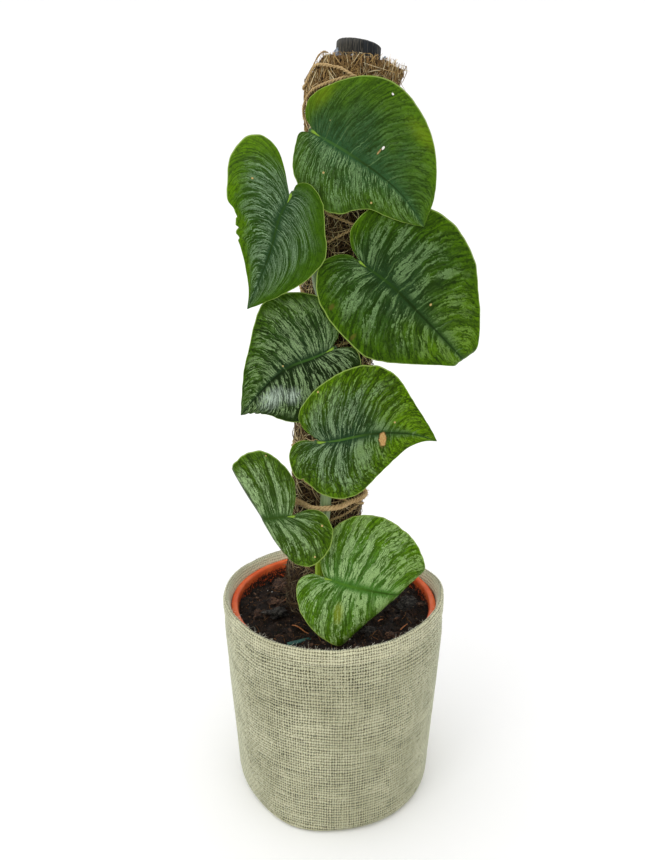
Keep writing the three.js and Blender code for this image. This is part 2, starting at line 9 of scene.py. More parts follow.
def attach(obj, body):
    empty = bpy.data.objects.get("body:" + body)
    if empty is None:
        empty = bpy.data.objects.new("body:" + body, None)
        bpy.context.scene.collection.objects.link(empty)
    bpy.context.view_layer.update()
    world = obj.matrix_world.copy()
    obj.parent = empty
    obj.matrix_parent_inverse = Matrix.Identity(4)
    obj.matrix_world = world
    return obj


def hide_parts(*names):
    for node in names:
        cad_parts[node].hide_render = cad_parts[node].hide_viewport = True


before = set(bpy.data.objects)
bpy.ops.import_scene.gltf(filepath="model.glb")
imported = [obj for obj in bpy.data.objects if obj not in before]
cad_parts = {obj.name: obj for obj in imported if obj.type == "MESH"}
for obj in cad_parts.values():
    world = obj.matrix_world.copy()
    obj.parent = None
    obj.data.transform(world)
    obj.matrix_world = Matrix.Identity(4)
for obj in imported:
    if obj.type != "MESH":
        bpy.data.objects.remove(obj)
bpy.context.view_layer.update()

# A shingling vine on a coir pole, in a plastic pot inside a woven cover.
# Every shape is worked out in millimetres in the part's own frame and scaled to metres when it is finished.

scene = bpy.context.scene
millimetre = 0.001
for name in ("Cube", "Light", "Camera"):  # a new file's own objects
    if name in bpy.data.objects:
        bpy.data.objects.remove(bpy.data.objects[name])


# Small tools

def smoothStep(value, start, end):
    share = min(max((value - start) / (end - start), 0.0), 1.0)
    return share * share * (3 - 2 * share)


def paint(*levels):  # screen colour 0-255 to the linear values that a shader takes
    parts = [level / 255 for level in levels]
    return Vector([part / 12.92 if part <= 0.04045 else ((part + 0.055) / 1.055) ** 2.4 for part in parts])


def around(angle, reach, height=0.0):
    return Vector((reach * cos(angle), reach * sin(angle), height))


def wander(x, y, z=0.0):  # smooth noise, about -1 to 1
    return noise.noise(Vector((x, y, z)))


def ringNoise(angle, size, z=0.0):  # the same, along a ring
    return noise.noise(around(angle, size, z))


def turned(angle):  # the same direction, from -pi to pi
    return atan2(sin(angle), cos(angle))


def hump(off, width):
    return exp(-(off / width) ** 2)


def curveThrough(points, steps):  # evenly spaced points on a smooth centripetal curve through the given ones
    knots = [Vector(point).to_3d() for point in points]
    knots = [knots[0] * 2 - knots[1], *knots, knots[-1] * 2 - knots[-2]]
    fine = []
    for before, start, end, after in zip(knots, knots[1:], knots[2:], knots[3:]):
        first, middle, last = [max((b - a).length, 1e-6) ** 0.5
                               for a, b in ((before, start), (start, end), (end, after))]
        leave = ((start - before) / first - (end - before) / (first + middle) + (end - start) / middle) * middle
        arrive = ((end - start) / middle - (after - start) / (middle + last) + (after - end) / last) * middle
        for step in range(12):
            t = step / 12
            fine.append(start + leave * t + (3 * (end - start) - 2 * leave - arrive) * t * t
                        + (2 * (start - end) + leave + arrive) * t ** 3)
    fine.append(knots[-2])
    return evenly(fine, steps)


def evenly(line, steps):
    lengths = [0.0]
    for a, b in zip(line, line[1:]):
        lengths.append(lengths[-1] + (b - a).length)
    spaced = []
    index = 0
    for step in range(steps + 1):
        wanted = lengths[-1] * step / steps
        while index < len(line) - 2 and lengths[index + 1] < wanted:
            index += 1
        span = max(lengths[index + 1] - lengths[index], 1e-9)
        spaced.append(line[index].lerp(line[index + 1], (wanted - lengths[index]) / span))
    return spaced


# Building pieces

def gridSheet(columns, rows, place, uvPlace=None):
    # a flat grid whose points are then laid out by place(u, v), with u and v from 0 to 1
    sheet = bmesh.new()
    bmesh.ops.create_grid(sheet, x_segments=columns, y_segments=rows, size=0.5)
    uvMap = sheet.loops.layers.uv.new("UVMap")
    corners = {vertex: (vertex.co.x + 0.5, vertex.co.y + 0.5) for vertex in sheet.verts}
    for face in sheet.faces:
        for loop in face.loops:
            u, v = corners[loop.vert]
            loop[uvMap].uv = uvPlace(u, v) if uvPlace else (u, v)
    for vertex, (u, v) in corners.items():
        vertex.co = place(u, v)
    return sheet


def openEdges(sheet):
    return [edge for edge in sheet.edges if edge.is_boundary]


def faceOut(sheet):
    bmesh.ops.recalc_face_normals(sheet, faces=sheet.faces)


def closeSeams(sheet, reach=0.002):
    bmesh.ops.remove_doubles(sheet, verts=sheet.verts, dist=reach)
    bmesh.ops.dissolve_degenerate(sheet, dist=1e-5, edges=sheet.edges)


def capHoles(sheet):
    bmesh.ops.holes_fill(sheet, edges=openEdges(sheet), sides=0)
    faceOut(sheet)


def closedSheet(columns, rows, place, reach=0.002):
    sheet = gridSheet(columns, rows, place)
    closeSeams(sheet, reach)
    capHoles(sheet)
    return sheet


def newObject(name, data):
    made = bpy.data.objects.new(name, data)
    scene.collection.objects.link(made)
    return made


def meshFrom(name, sheet):
    mesh = bpy.data.meshes.new(name)
    sheet.to_mesh(mesh)
    sheet.free()
    return mesh


def finishPiece(name, sheet, finishes, replaced=(), smooth=True):
    bmesh.ops.scale(sheet, vec=(millimetre,) * 3, verts=sheet.verts)
    mesh = meshFrom(name, sheet)
    for finish in finishes:
        mesh.materials.append(finish.material)
    if smooth:
        mesh.shade_smooth()
    piece = newObject(name, mesh)
    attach(piece, "root")
    if replaced:
        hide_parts(*replaced)
    mesh.calc_loop_triangles()
    print("piece", name, len(mesh.loop_triangles), "triangles")
    return piece


def strands(paths, sides, sheet=None, materialIndex=0):
    # thin round strands along paths of (point, radius), swept by a curve with a small ring as its bevel
    ringCurve = bpy.data.curves.new("ring", "CURVE")
    ringCurve.dimensions = "2D"
    ring = ringCurve.splines.new("POLY")
    ring.points.add(sides - 1)
    for index, point in enumerate(ring.points):
        point.co = (*around(tau * index / sides, 1), 1)
    ring.use_cyclic_u = True
    ringHolder = newObject("ring", ringCurve)
    curve = bpy.data.curves.new("strands", "CURVE")
    curve.dimensions = "3D"
    curve.bevel_mode = "OBJECT"
    curve.bevel_object = ringHolder
    curve.use_fill_caps = True
    for path in paths:
        spline = curve.splines.new("POLY")
        spline.points.add(len(path) - 1)
        spline.points.foreach_set("co", [value for point, radius in path for value in (*point, 1)])
        spline.points.foreach_set("radius", [radius for point, radius in path])
    holder = newObject("strands", curve)
    mesh = evaluatedMesh(holder)
    sheet = sheet or bmesh.new()
    before = len(sheet.faces)
    sheet.from_mesh(mesh)
    sheet.faces.ensure_lookup_table()
    for face in sheet.faces[before:]:
        face.material_index = materialIndex
    for holder in (holder, ringHolder):
        data = holder.data
        bpy.data.objects.remove(holder)
        bpy.data.curves.remove(data)
    bpy.data.meshes.remove(mesh)
    return sheet


def evaluatedMesh(piece):
    bpy.context.view_layer.update()
    return bpy.data.meshes.new_from_object(piece.evaluated_get(bpy.context.evaluated_depsgraph_get()))


# Building materials

class Value:  # a node's output, so that a material can be written as sums
    def __init__(self, finish, socket):
        self.finish, self.socket = finish, socket

    def __add__(self, other):
        return self.finish.maths("ADD", self, other)

    def __radd__(self, other):
        return self.finish.maths("ADD", other, self)

    def __sub__(self, other):
        return self.finish.maths("SUBTRACT", self, other)

    def __rsub__(self, other):
        return self.finish.maths("SUBTRACT", other, self)

    def __mul__(self, other):
        return self.finish.maths("MULTIPLY", self, other)

    def __pow__(self, other):
        return self.finish.maths("POWER", self, other)

    def __abs__(self):
        return self.finish.maths("ABSOLUTE", self)


class Finish:  # one material and the nodes that it is made of
    def __init__(self, name, roughness, **settings):
        self.material = bpy.data.materials.new(name)
        self.material.use_nodes = True
        self.tree = self.material.node_tree
        self.shader = self.tree.nodes["Principled BSDF"].inputs
        for socket, value in {"Roughness": roughness, **settings}.items():
            self.shader[socket.replace("_", " ")].default_value = value
        self.place = self.vector("SCALE", self.node("TexCoord", "Object"), scale=1000)  # in millimetres

    def node(self, kind, output=0, inputs=None, **settings):
        made = self.tree.nodes.new("ShaderNode" + kind)
        for key, value in settings.items():
            setattr(made, key, value)
        for key, value in (inputs or {}).items():
            if value is not None:
                self.feed(made.inputs[key], value)
        return Value(self, made.outputs[output])

    def feed(self, socket, value):
        if isinstance(value, Value):
            self.tree.links.new(value.socket, socket)
        elif socket.type == "RGBA":  # a Vector is linear already, and a tuple is a screen colour
            socket.default_value = (*(value if isinstance(value, Vector) else paint(*value)), 1)
        else:
            socket.default_value = value

    def maths(self, operation, *values):
        return self.node("Math", 0, dict(enumerate(values)), operation=operation)

    def vector(self, operation, first, second=None, scale=None):
        output = "Value" if operation in ("LENGTH", "DISTANCE") else "Vector"
        return self.node("VectorMath", output, {0: first, 1: second, "Scale": scale}, operation=operation)

    def combine(self, x, y, z=0.0):
        return self.node("CombineXYZ", 0, {0: x, 1: y, 2: z})

    def split(self, vector):
        node = self.node("SeparateXYZ", 0, {0: vector}).socket.node
        return [Value(self, output) for output in node.outputs]

    def uv(self, name):
        return self.node("UVMap", uv_map=name)

    def noise(self, vector, scale=1.0, detail=3.0, roughness=0.5, distortion=0.0):
        inputs = {"Scale": scale, "Detail": detail, "Roughness": roughness, "Distortion": distortion}
        return self.node("TexNoise", 0, {"Vector": vector, **inputs})

    def cells(self, vector, scale=1.0, feature="F1"):
        return self.node("TexVoronoi", "Distance", {"Vector": vector, "Scale": scale}, feature=feature)

    def ease(self, value, start, end, low=0.0, high=1.0):  # smooth step from start to end
        inputs = dict(enumerate((value, start, end, low, high)))
        return self.node("MapRange", 0, inputs, interpolation_type="SMOOTHSTEP")

    def mix(self, share, first, second):
        return self.node("Mix", 2, {0: share, 6: first, 7: second}, data_type="RGBA")

    def ramp(self, value, start, end, first, second):
        return self.mix(self.ease(value, start, end), first, second)

    def wash(self, tone, *layers):  # colours laid over a tone: (value, start, end, share, colour)
        for value, start, end, share, colour in layers:
            tone = self.mix(self.ease(value, start, end, 0, share), tone, colour)
        return tone

    def colour(self, value):
        self.feed(self.shader["Base Color"], value)

    def roughness(self, value):
        self.feed(self.shader["Roughness"], value)

    def bump(self, height, distance, strength=1.0):  # distance in millimetres
        inputs = {"Strength": strength, "Distance": distance * millimetre, "Height": height}
        if self.shader["Normal"].is_linked:
            inputs["Normal"] = Value(self, self.shader["Normal"].links[0].from_socket)
        self.feed(self.shader["Normal"], self.node("Bump", 0, inputs))

    def island(self):  # a value that differs from strand to strand or from crumb to crumb
        return self.node("NewGeometry", "Random Per Island")


def mottled(name, roughness, size, dark, pale):  # a finish in patches of two colours
    made = Finish(name, roughness)
    made.colour(made.ramp(made.noise(made.place, size), 0.35, 0.7, dark, pale))
    return made


# Camera, floor and light

studio = {
    "lens": 29.72,                          # with a 36 mm sensor along the picture's long side
    "cameraPlace": (-8.1, -472.4, 403.7),
    "cameraPitch": 15.6,                    # degrees below level
    "paperColour": (255, 255, 255),
    "paperCurve": (1100, 700),              # where the paper starts to rise behind the plant, and its curve
    "skyStrength": 0.83,
    "sunStrength": 0.78,
    "sunFrom": (-0.32, -0.4, 1.0),
    "sunWidth": 85,
    "glossPower": 1.2, "glossSize": 0.35, "glossPlace": (-0.55, -0.7, 0.85),
}


def makeStudio():
    cameraData = bpy.data.cameras.new("camera")
    cameraData.sensor_width = 36
    cameraData.lens = studio["lens"]
    cameraData.clip_start = 0.01
    camera = newObject("camera", cameraData)
    camera.location = Vector(studio["cameraPlace"]) * millimetre
    camera.rotation_euler = (radians(90 - studio["cameraPitch"]), 0, 0)
    scene.camera = camera

    paper = Finish("studio paper", 0.9, Specular_IOR_Level=0.1)
    paper.colour(studio["paperColour"])
    start, curve = studio["paperCurve"]

    def sweep(u, v):
        along = v * 6000 - 3000 - start
        if along < 0:
            return Vector(((u - 0.5) * 9000, along + start, 0))
        bend = min(along / curve, pi / 2)
        beyond = max(along - curve * pi / 2, 0)
        return Vector(((u - 0.5) * 9000, start + curve * sin(bend), curve * (1 - cos(bend)) + beyond))

    sheet = gridSheet(2, 240, sweep)
    bmesh.ops.scale(sheet, vec=(millimetre,) * 3, verts=sheet.verts)
    mesh = meshFrom("floor", sheet)
    mesh.shade_smooth()
    mesh.materials.append(paper.material)
    floor = newObject("floor", mesh)

    world = bpy.data.worlds.new("studio sky")
    world.use_nodes = True
    sky = world.node_tree.nodes["Background"].inputs
    sky["Color"].default_value = (1, 1, 1, 1)
    sky["Strength"].default_value = studio["skyStrength"]
    scene.world = world
    scene.view_settings.view_transform = "Standard"

    sunData = bpy.data.lights.new("soft sun", "SUN")
    sunData.energy = studio["sunStrength"]
    sunData.angle = radians(studio["sunWidth"])
    sun = newObject("soft sun", sunData)
    sun.rotation_euler = (-Vector(studio["sunFrom"])).to_track_quat("-Z", "Y").to_euler()
    glossData = bpy.data.lights.new("gloss lamp", "AREA")
    glossData.size = studio["glossSize"]
    glossData.energy = studio["glossPower"]
    gloss = newObject("gloss lamp", glossData)
    gloss.location = studio["glossPlace"]
    gloss.rotation_euler = (Vector((0, 0, 0.3)) - gloss.location).to_track_quat("-Z", "Y").to_euler()
    print("studio ready")


# Fabric cover: an open plain weave, sewn round, with a folded hem

cover = {
    "warpThreads": 270,         # upright threads round the wall, an even count
    "weftThreads": 66,          # level threads from the base corner to the hem
    "threadLift": 0.30,         # how far a crossing stands out
    "holeDepth": 0.75,
    "cloth": 2.0,
    "liningRows": 36,
    "hemRows": 28,
    "hemInside": 78.5,          # radius inside which the hem takes its paler, painted-light inner finish
    "leans": ((-2.55, 0.55, 2.2), (-0.85, 0.75, 3.4), (0.25, 0.3, -2.4)),   # where, how wide, how far in
    "hairs": {                  # how many, the height of the root, how they lean out and up, and their length
        "rim": (770, (147.5, 149.3), (-0.8, 0.6), (0.1, 0.9), (1.0, 4.2)),
        "wall": (330, (14, 146), (0.1, 0.9), (-0.8, 0.8), (1.0, 2.6)),
    },
    "hairColours": ((206, 200, 172), (244, 242, 228)),
    "clothColours": ((212, 210, 177), (140, 137, 101)),    # thread and shade
    # painted shade seen through the gaps of the weave
    "paintedHoleShade": (50, 47, 24),
    "hemColours": ((224, 221, 187), (150, 146, 111)),
    "paintedLightHemColours": ((250, 255, 222), (220, 222, 184)),   # the inner face of the hem: a paler copy of the cloth, painted light
}
coverWall = [(62, 0), (66.8, 0.3), (69.6, 1.5), (71.6, 4.5), (72.6, 10), (73.0, 19), (74.2, 37), (75.8, 60),
             (77.7, 98), (79.4, 124), (80.2, 143.5)]
coverHem = [(79, 138), (80.3, 138.2), (80.8, 140), (81, 143.5), (81.1, 146.6), (80.6, 148.5), (79.5, 149.3),
            (78.4, 148.9), (77.5, 147.2), (76.7, 144.6), (75.9, 141.6), (75.5, 139.4), (76.2, 138.9),
            (77.6, 139.4)]


def sagging(radius, angle, height):
    up = smoothStep(height, 6, 60)
    push = 1 + up * (0.004 * sin(2 * angle + 0.6) + 0.003 * sin(3 * angle + height / 40))
    kink = 1.2 * hump(angle - 0.62, 0.16) * smoothStep(height, 110, 149)
    for middle, width, inwards in cover["leans"]:
        kink += inwards * hump(turned(angle - middle), width) * smoothStep(height, 122, 149)
    spread = 3.6 * hump(turned(angle + 1.95), 0.35) * smoothStep(height, 6, 0.5)    # the corners of the base
    spread -= 1.0 * hump(turned(angle + 2.6), 0.35) * smoothStep(height, 30, 5)
    soft = up * 0.7 * ringNoise(angle, 2.1, height / 34)
    reach = radius * push + soft - kink + spread
    lifted = height + 0.8 * smoothStep(height, 90, 149) * sin(2 * angle + 2.2)
    lifted += 0.6 * smoothStep(height, 120, 149) * wander(cos(angle) * 3.3 + 5, sin(angle) * 3.3)
    return around(angle, reach, lifted)


def woven(column, row):  # relief of the cloth at half-thread steps: crossings stand out, gaps sink in
    if column % 2 == 0 and row % 2 == 0:
        return cover["threadLift"] * (1.6 if (column // 2 + row // 2) % 2 else 0.7)
    if column % 2 == 1 and row % 2 == 1:
        return -cover["holeDepth"]
    return -0.02


def threadPlace(u, row, height):  # angle and height of a crossing, with each thread a little out of true
    warps = cover["warpThreads"]
    warp = (u * warps) % warps
    angle = tau * u
    slow = ringNoise(angle, 5, height / 30)
    own = wander(warp * 0.9, 3.3) * sin(pi * u) ** 0.2
    angle += (0.30 * own + 0.45 * slow) * 2 * pi / warps
    sway = ringNoise(angle, 3.1, row * 0.035 + 40)
    return angle, height + 0.9 * sway + 0.5 * wander(row * 0.47, cos(angle) * 0.8, sin(angle) * 0.8)


def clothFinish(name, openness, thread, shade):
    cloth = Finish(name, 0.92, Sheen_Weight=0.5, Sheen_Roughness=0.5, Specular_IOR_Level=0.1)
    cloth.shader["Sheen Tint"].default_value = (0.58, 0.68, 0.66, 1)
    u, w, _ = cloth.split(cloth.uv("UVMap"))  # one unit is one thread
    slow = cloth.noise(cloth.place, 0.035, 2)
    wobble = cloth.noise(cloth.combine(u, w * 0.3), 0.8, 2)
    waver = cloth.noise(cloth.combine(u * 0.3, w, 7.0), 0.8, 2)
    u = u + (wobble - 0.5) * 0.8
    w = w + (waver - 0.5) * 0.8
    fromWarp = abs(cloth.maths("FRACT", u) - 0.5)
    fromWeft = abs(cloth.maths("FRACT", w) - 0.5)
    warpNumber = cloth.maths("FLOOR", u)
    weftNumber = cloth.maths("FLOOR", w)
    thick = cloth.noise(cloth.combine(warpNumber * 3.7, w * 0.12), 1, 2)
    stout = cloth.noise(cloth.combine(u * 0.1, weftNumber * 5.3), 1, 2)
    close = (cloth.noise(cloth.place, 0.06, 4) - 0.5) * 0.13
    close = close + (cloth.noise(cloth.place, 0.9, 3, 0.7) - 0.5) * 0.22
    warpEdge = 0.375 + close + (thick - 0.5) * 0.46
    weftEdge = 0.395 + close + (stout - 0.5) * 0.46
    warpBody = cloth.ease(fromWarp, warpEdge, warpEdge - 0.2)
    weftBody = cloth.ease(fromWeft, weftEdge, weftEdge - 0.2)
    checker = abs(cloth.maths("MODULO", warpNumber + weftNumber, 2))
    body = cloth.maths("MAXIMUM", warpBody * (0.5 + checker * 0.5), weftBody * (1.0 - checker * 0.45))
    fibres = cloth.noise(cloth.place, 2.6, 4, 0.65)
    tone = cloth.ramp(body * 0.62 + fibres * 0.5, 0.4, 1.0, shade, thread)
    tone = cloth.wash(tone, (stout, 0.6, 0.72, 0.35, thread), (slow, 0.35, 0.7, 0.3, shade))
    # painted shade: where no thread covers, the colour darkens as if shaded behind the weave
    closed = cloth.ease(body, 0.06, 0.36, openness, 0.0)
    cloth.colour(cloth.mix(closed, tone, cover["paintedHoleShade"]))
    cloth.bump(body, 0.5, 0.9)
    cloth.bump(fibres, 0.2, 0.5)
    return cloth


def makeCover():
    outside = clothFinish("jute cloth", 1.0, *cover["clothColours"])
    folded = clothFinish("folded jute cloth", 0.6, *cover["hemColours"])
    # painted light: a paler copy of the cloth for the hem's inner face
    paintedLightHem = clothFinish("painted light jute cloth", 0.25, *cover["paintedLightHemColours"])
    warps, wefts, liningRows = cover["warpThreads"], cover["weftThreads"], cover["liningRows"]
    wall = curveThrough(coverWall, 2 * wefts)
    lining = curveThrough([(radius - (cover["cloth"] if radius > 62 else 0), height + (2 if height < 2 else 0))
                           for radius, height in coverWall], liningRows)

    def outer(u, v):
        column = round(u * 2 * warps) % (2 * warps)
        row = round(v * 2 * wefts)
        profile = wall[row]
        angle, height = threadPlace(column / (2 * warps), row, profile.y) if row > 10 else (tau * u, profile.y)
        relief = woven(column, row) * (0.85 + 0.5 * wander(column * 0.37, row * 0.31, 4))
        relief *= smoothStep(row, 0, 8)
        return sagging(profile.x + relief, angle, height)

    def inner(u, v):
        profile = lining[round(v * liningRows)]
        return sagging(profile.x, -tau * u, profile.y)

    sheet = bmesh.new()
    for columns, rows, place in ((2 * warps, 2 * wefts, outer), (warps, liningRows, inner)):
        wallSide = gridSheet(columns, rows, place, lambda u, v: (u * warps + 0.5, v * wefts + 0.5))
        closeSeams(wallSide)
        bottom = [edge for edge in openEdges(wallSide) if edge.verts[0].co.z < 60]
        bmesh.ops.holes_fill(wallSide, edges=bottom, sides=0)
        joined = meshFrom("joined", wallSide)
        sheet.from_mesh(joined)
        bpy.data.meshes.remove(joined)
    bmesh.ops.bridge_loops(sheet, edges=openEdges(sheet))
    faceOut(sheet)
    finishPiece("cover_wall", sheet, [outside], ["fabric_cover"])

    rows = cover["hemRows"]
    section = curveThrough([*coverHem, coverHem[0]], rows)

    def fold(u, v):
        row = round(v * rows) % rows
        profile = section[row]
        column = round(u * 2 * warps) % (2 * warps)
        angle, height = threadPlace(column / (2 * warps), row, profile.y)
        height = profile.y + 0.5 * (height - profile.y)
        relief = 0.5 * woven(column, row) + 0.3 * ringNoise(angle, 9, v * 4)
        outwards = 1 if profile.x > 79.2 else -1
        point = sagging(profile.x + relief * outwards, angle, height)
        point.z += 0.35 * ringNoise(angle, 7, 3) * smoothStep(profile.y, 144, 149)
        return point

    hem = gridSheet(2 * warps, rows, fold, lambda u, v: (u * warps + 0.5, v * rows / 2 + 0.5))
    closeSeams(hem)
    faceOut(hem)
    hemMap = hem.loops.layers.uv["UVMap"]
    for face in hem.faces:
        row = round((face.loops[0][hemMap].uv.y - 0.5) * 2) % rows
        face.material_index = int(section[row].x < cover["hemInside"])
    finishPiece("cover_hem", hem, [folded, paintedLightHem])

    draw = random.Random(3)
    paths = []
    hairs = [(kind, ranges) for kind, (count, *ranges) in cover["hairs"].items() for index in range(count)]
    for kind, (heights, leanOut, leanUp, lengths) in hairs:
        angle = draw.uniform(0, tau)
        height = draw.uniform(*heights)
        start = sagging(draw.uniform(78.0, 80.6) if kind == "rim" else wallRadius(height), angle, height)
        outwards = around(angle, 1)
        along = Vector((-sin(angle), cos(angle), 0))
        lean = outwards * draw.uniform(*leanOut) + along * draw.uniform(-1, 1)
        lean.z += draw.uniform(*leanUp)
        curl = along * draw.uniform(-1, 1) + Vector((0, 0, draw.uniform(-0.9, 0.4)))
        length = draw.uniform(*lengths)
        path = []
        for step in range(5):
            share = step / 4
            place = start + (lean.normalized() * share + curl * 0.5 * share * share) * length
            path.append((place, 0.09 * (1 - 0.6 * share)))
        paths.append(path)
    hairFinish = Finish("jute hair", 0.9, Specular_IOR_Level=0.2)
    hairFinish.colour(hairFinish.mix(hairFinish.island(), *cover["hairColours"]))
    finishPiece("cover_fuzz", strands(paths, 3), [hairFinish])


def wallRadius(height):
    for (radius, low), (nextRadius, high) in zip(coverWall, coverWall[1:]):
        if low <= height <= high:
            return radius + (nextRadius - radius) * (height - low) / (high - low)
    return coverWall[-1][0]


# Nursery pot

pot = {
    "rimRadius": 75, "rimHeight": 143.8, "rimDepth": 9, "mouthRadius": 70.2, "baseRadius": 54, "wall": 1.6,
    "floor": 2.9, "drainHoles": 6, "drainRadius": 4, "drainCircle": 36,
    "steps": 144, "sink": 2.2,              # it stands a little lower at the front
    "colour": (214, 84, 34), "paleColour": (230, 110, 56), "scuffColour": (236, 150, 110),
    "dustColour": (44, 28, 18),
}


def potInside(height):
    narrow = pot["baseRadius"] - pot["wall"]
    return narrow + (pot["mouthRadius"] - narrow) * (height - pot["floor"]) / (pot["rimHeight"] - pot["floor"])


def spunPiece(profile, steps):  # a profile of (radius, height) turned about the upright axis
    sheet = bmesh.new()
    corners = [sheet.verts.new((radius, 0, height)) for radius, height in profile]
    edges = [sheet.edges.new(pair) for pair in zip(corners, corners[1:])]
    bmesh.ops.spin(sheet, geom=corners + edges, cent=(0, 0, 0), axis=(0, 0, 1), angle=tau, steps=steps,
                   use_merge=True)
    bmesh.ops.remove_doubles(sheet, verts=sheet.verts, dist=1e-4)
    faceOut(sheet)
    return sheet


def makePot():
    plastic = Finish("terracotta plastic", 0.42, Specular_IOR_Level=0.22)
    _, _, height = plastic.split(plastic.place)
    mottle = plastic.noise(plastic.place, 0.09, 3)
    scuff = plastic.noise(plastic.vector("MULTIPLY", plastic.place, (1, 1, 0.25)), 0.9, 4, 0.7)
    shade = plastic.ramp(mottle, 0.3, 0.75, pot["colour"], pot["paleColour"])
    shade = plastic.wash(shade, (scuff, 0.62, 0.8, 0.25, pot["scuffColour"]))
    crumbs = plastic.noise(plastic.place, 0.55, 5, 0.75)
    low = plastic.ease(height, 143.2, 137.5)
    dust = plastic.ease(crumbs + low * 0.22, 0.62, 0.7) * low
    plastic.colour(plastic.mix(dust, shade, pot["dustColour"]))
    plastic.roughness(plastic.ease(scuff + dust, 0.4, 1.0, 0.36, 0.75))
    plastic.bump(plastic.noise(plastic.place, 1.8, 3), 0.05, 0.4)
    plastic.bump(crumbs, 0.2, 0.3)
    base, floor, wall = pot["baseRadius"], pot["floor"], pot["wall"]
    skirt = pot["rimHeight"] - pot["rimDepth"]
    top, rim, mouth = pot["rimHeight"], pot["rimRadius"], pot["mouthRadius"]
    profile = [
        (0, floor), (base - 2, floor), (base - 0.6, floor + 0.5), (base, floor + 2),
        (potInside(skirt) + wall - 0.4, skirt - 0.6), (potInside(skirt) + wall, skirt), (rim - 0.6, skirt),
        (rim, skirt + 0.6), (rim, top - 1.6), (rim - 0.4, top - 0.6), (rim - 1.4, top), (mouth + 1.6, top),
        (mouth + 0.6, top - 0.3), (mouth + 0.1, top - 1.2), (mouth - 0.25, top - 2.6),
        (potInside(skirt), skirt),
        (potInside(floor + 4), floor + 4), (potInside(floor) - 2, floor + 2), (0, floor + 2),
    ]
    sheet = spunPiece(profile, pot["steps"])
    for vertex in sheet.verts:
        vertex.co.z -= pot["sink"] * smoothStep(-vertex.co.y, -30, 75) * vertex.co.z / top
    piece = finishPiece("pot_shell", sheet, [plastic], ["nursery_pot"])
    cutter = bmesh.new()
    for index in range(pot["drainHoles"]):
        place = around(tau * index / pot["drainHoles"], pot["drainCircle"], floor) * millimetre
        radius = pot["drainRadius"] * millimetre
        bmesh.ops.create_cone(cutter, cap_ends=True, segments=24, radius1=radius, radius2=radius, depth=0.01,
                              matrix=Matrix.Translation(place))
    drills = newObject("drills", meshFrom("drills", cutter))
    drilling = piece.modifiers.new("drain holes", "BOOLEAN")
    drilling.operation = "DIFFERENCE"
    drilling.object = drills
    drilled = evaluatedMesh(piece)
    piece.modifiers.clear()
    piece.data = drilled
    bpy.data.objects.remove(drills)


# Soil, with bark, crumbs, perlite and slivers lying on it

soil = {
    "height": 137.5,
    "edge": 69.2,
    "crumbs": 2150,
    "chips": 46,
    "perlite": 9,
    "pith": 420,                # short fibres among the crumbs
    "darkColour": (8, 6, 4),
    "paleColour": (60, 44, 33),
    "fleckColour": (116, 86, 60),
    "deepColour": (6, 5, 4),
    "barkGap": (12, 10, 9),
    "crumbColour": (112, 92, 70),
    "pithColours": ((34, 22, 14), (132, 92, 54)),
    "perliteColours": ((206, 200, 186), (240, 238, 230)),
    "sliverColours": ((150, 84, 40), (206, 140, 84)),
    "barkColours": {"bark": ((68, 46, 33), (136, 103, 80), (168, 138, 112)),
                    "slate bark": ((42, 40, 36), (102, 98, 90), (142, 137, 128))},
}
orangeSlivers = [((-29.2, -37.4), (-16.3, -40.2)), ((46, -34.2), (51.5, -28.7)), ((31.2, -24.3), (35, -20.9)),
                 ((-35.8, -1.2), (-34.9, 7))]
barkChunks = [  # place, length, width, turn in degrees, how far out, and which finish
    ((-41, -15), 8, 7, 40, 1.8, "slate"), ((-40, 24), 10, 7, -30, 3.4, "bark"),
    ((-54, -12), 6, 4, 60, 0.5, "bark"), ((55, 0), 9, 6.5, 60, 1.0, "slate"),
    ((40, -42), 6, 4, 10, 0.3, "bark"), ((24, -38), 7, 4, -20, 0.2, "slate"),
    ((8, 54), 10, 6, 0, 0.6, "bark"), ((-26, 47), 8, 5, 40, 0.8, "bark"), ((-44, 4), 6, 4, 0, 0.4, "bark"),
]


def soilSurface(x, y):
    lumps = 1.5 * sin(x / 5.3 + 1.2) * cos(y / 6.1) + 1.1 * sin(x / 3.1 - y / 3.7)
    lumps += 0.8 * cos(x / 9 + y / 4.3)
    return soil["height"] + lumps - 1.8 * smoothStep(hypot(x, y), 50, 68) - 5.5 * smoothStep(y, 8, 62)


def crumbled(x, y):
    point = Vector((x, y, 0))
    coarse = noise.fractal(point / 7, 0.9, 2.1, 4)
    fine = noise.fractal(point / 2.0 + Vector((9, 3, 1)), 0.8, 2.3, 3)
    return soilSurface(x, y) + 1.7 * coarse + 1.1 * fine


def earthFinish(name, grain):
    earth = Finish(name, 0.9, Specular_IOR_Level=0.22)
    coarse = earth.noise(earth.place, 0.22, 6, 0.7)
    fine = earth.noise(earth.place, grain, 5, 0.75)
    shade = earth.ramp(coarse, 0.4, 0.75, soil["darkColour"], soil["paleColour"])
    shade = earth.wash(shade, (fine, 0.55, 0.72, 0.75, soil["fleckColour"]),
                       (fine, 0.48, 0.36, 0.8, soil["deepColour"]),
                       (earth.island(), 0.8, 0.96, 0.6, soil["crumbColour"]))
    earth.colour(shade)
    earth.roughness(earth.ease(coarse, 0.3, 0.7, 0.6, 0.95))
    earth.bump(fine, 0.8, 0.9)
    return earth


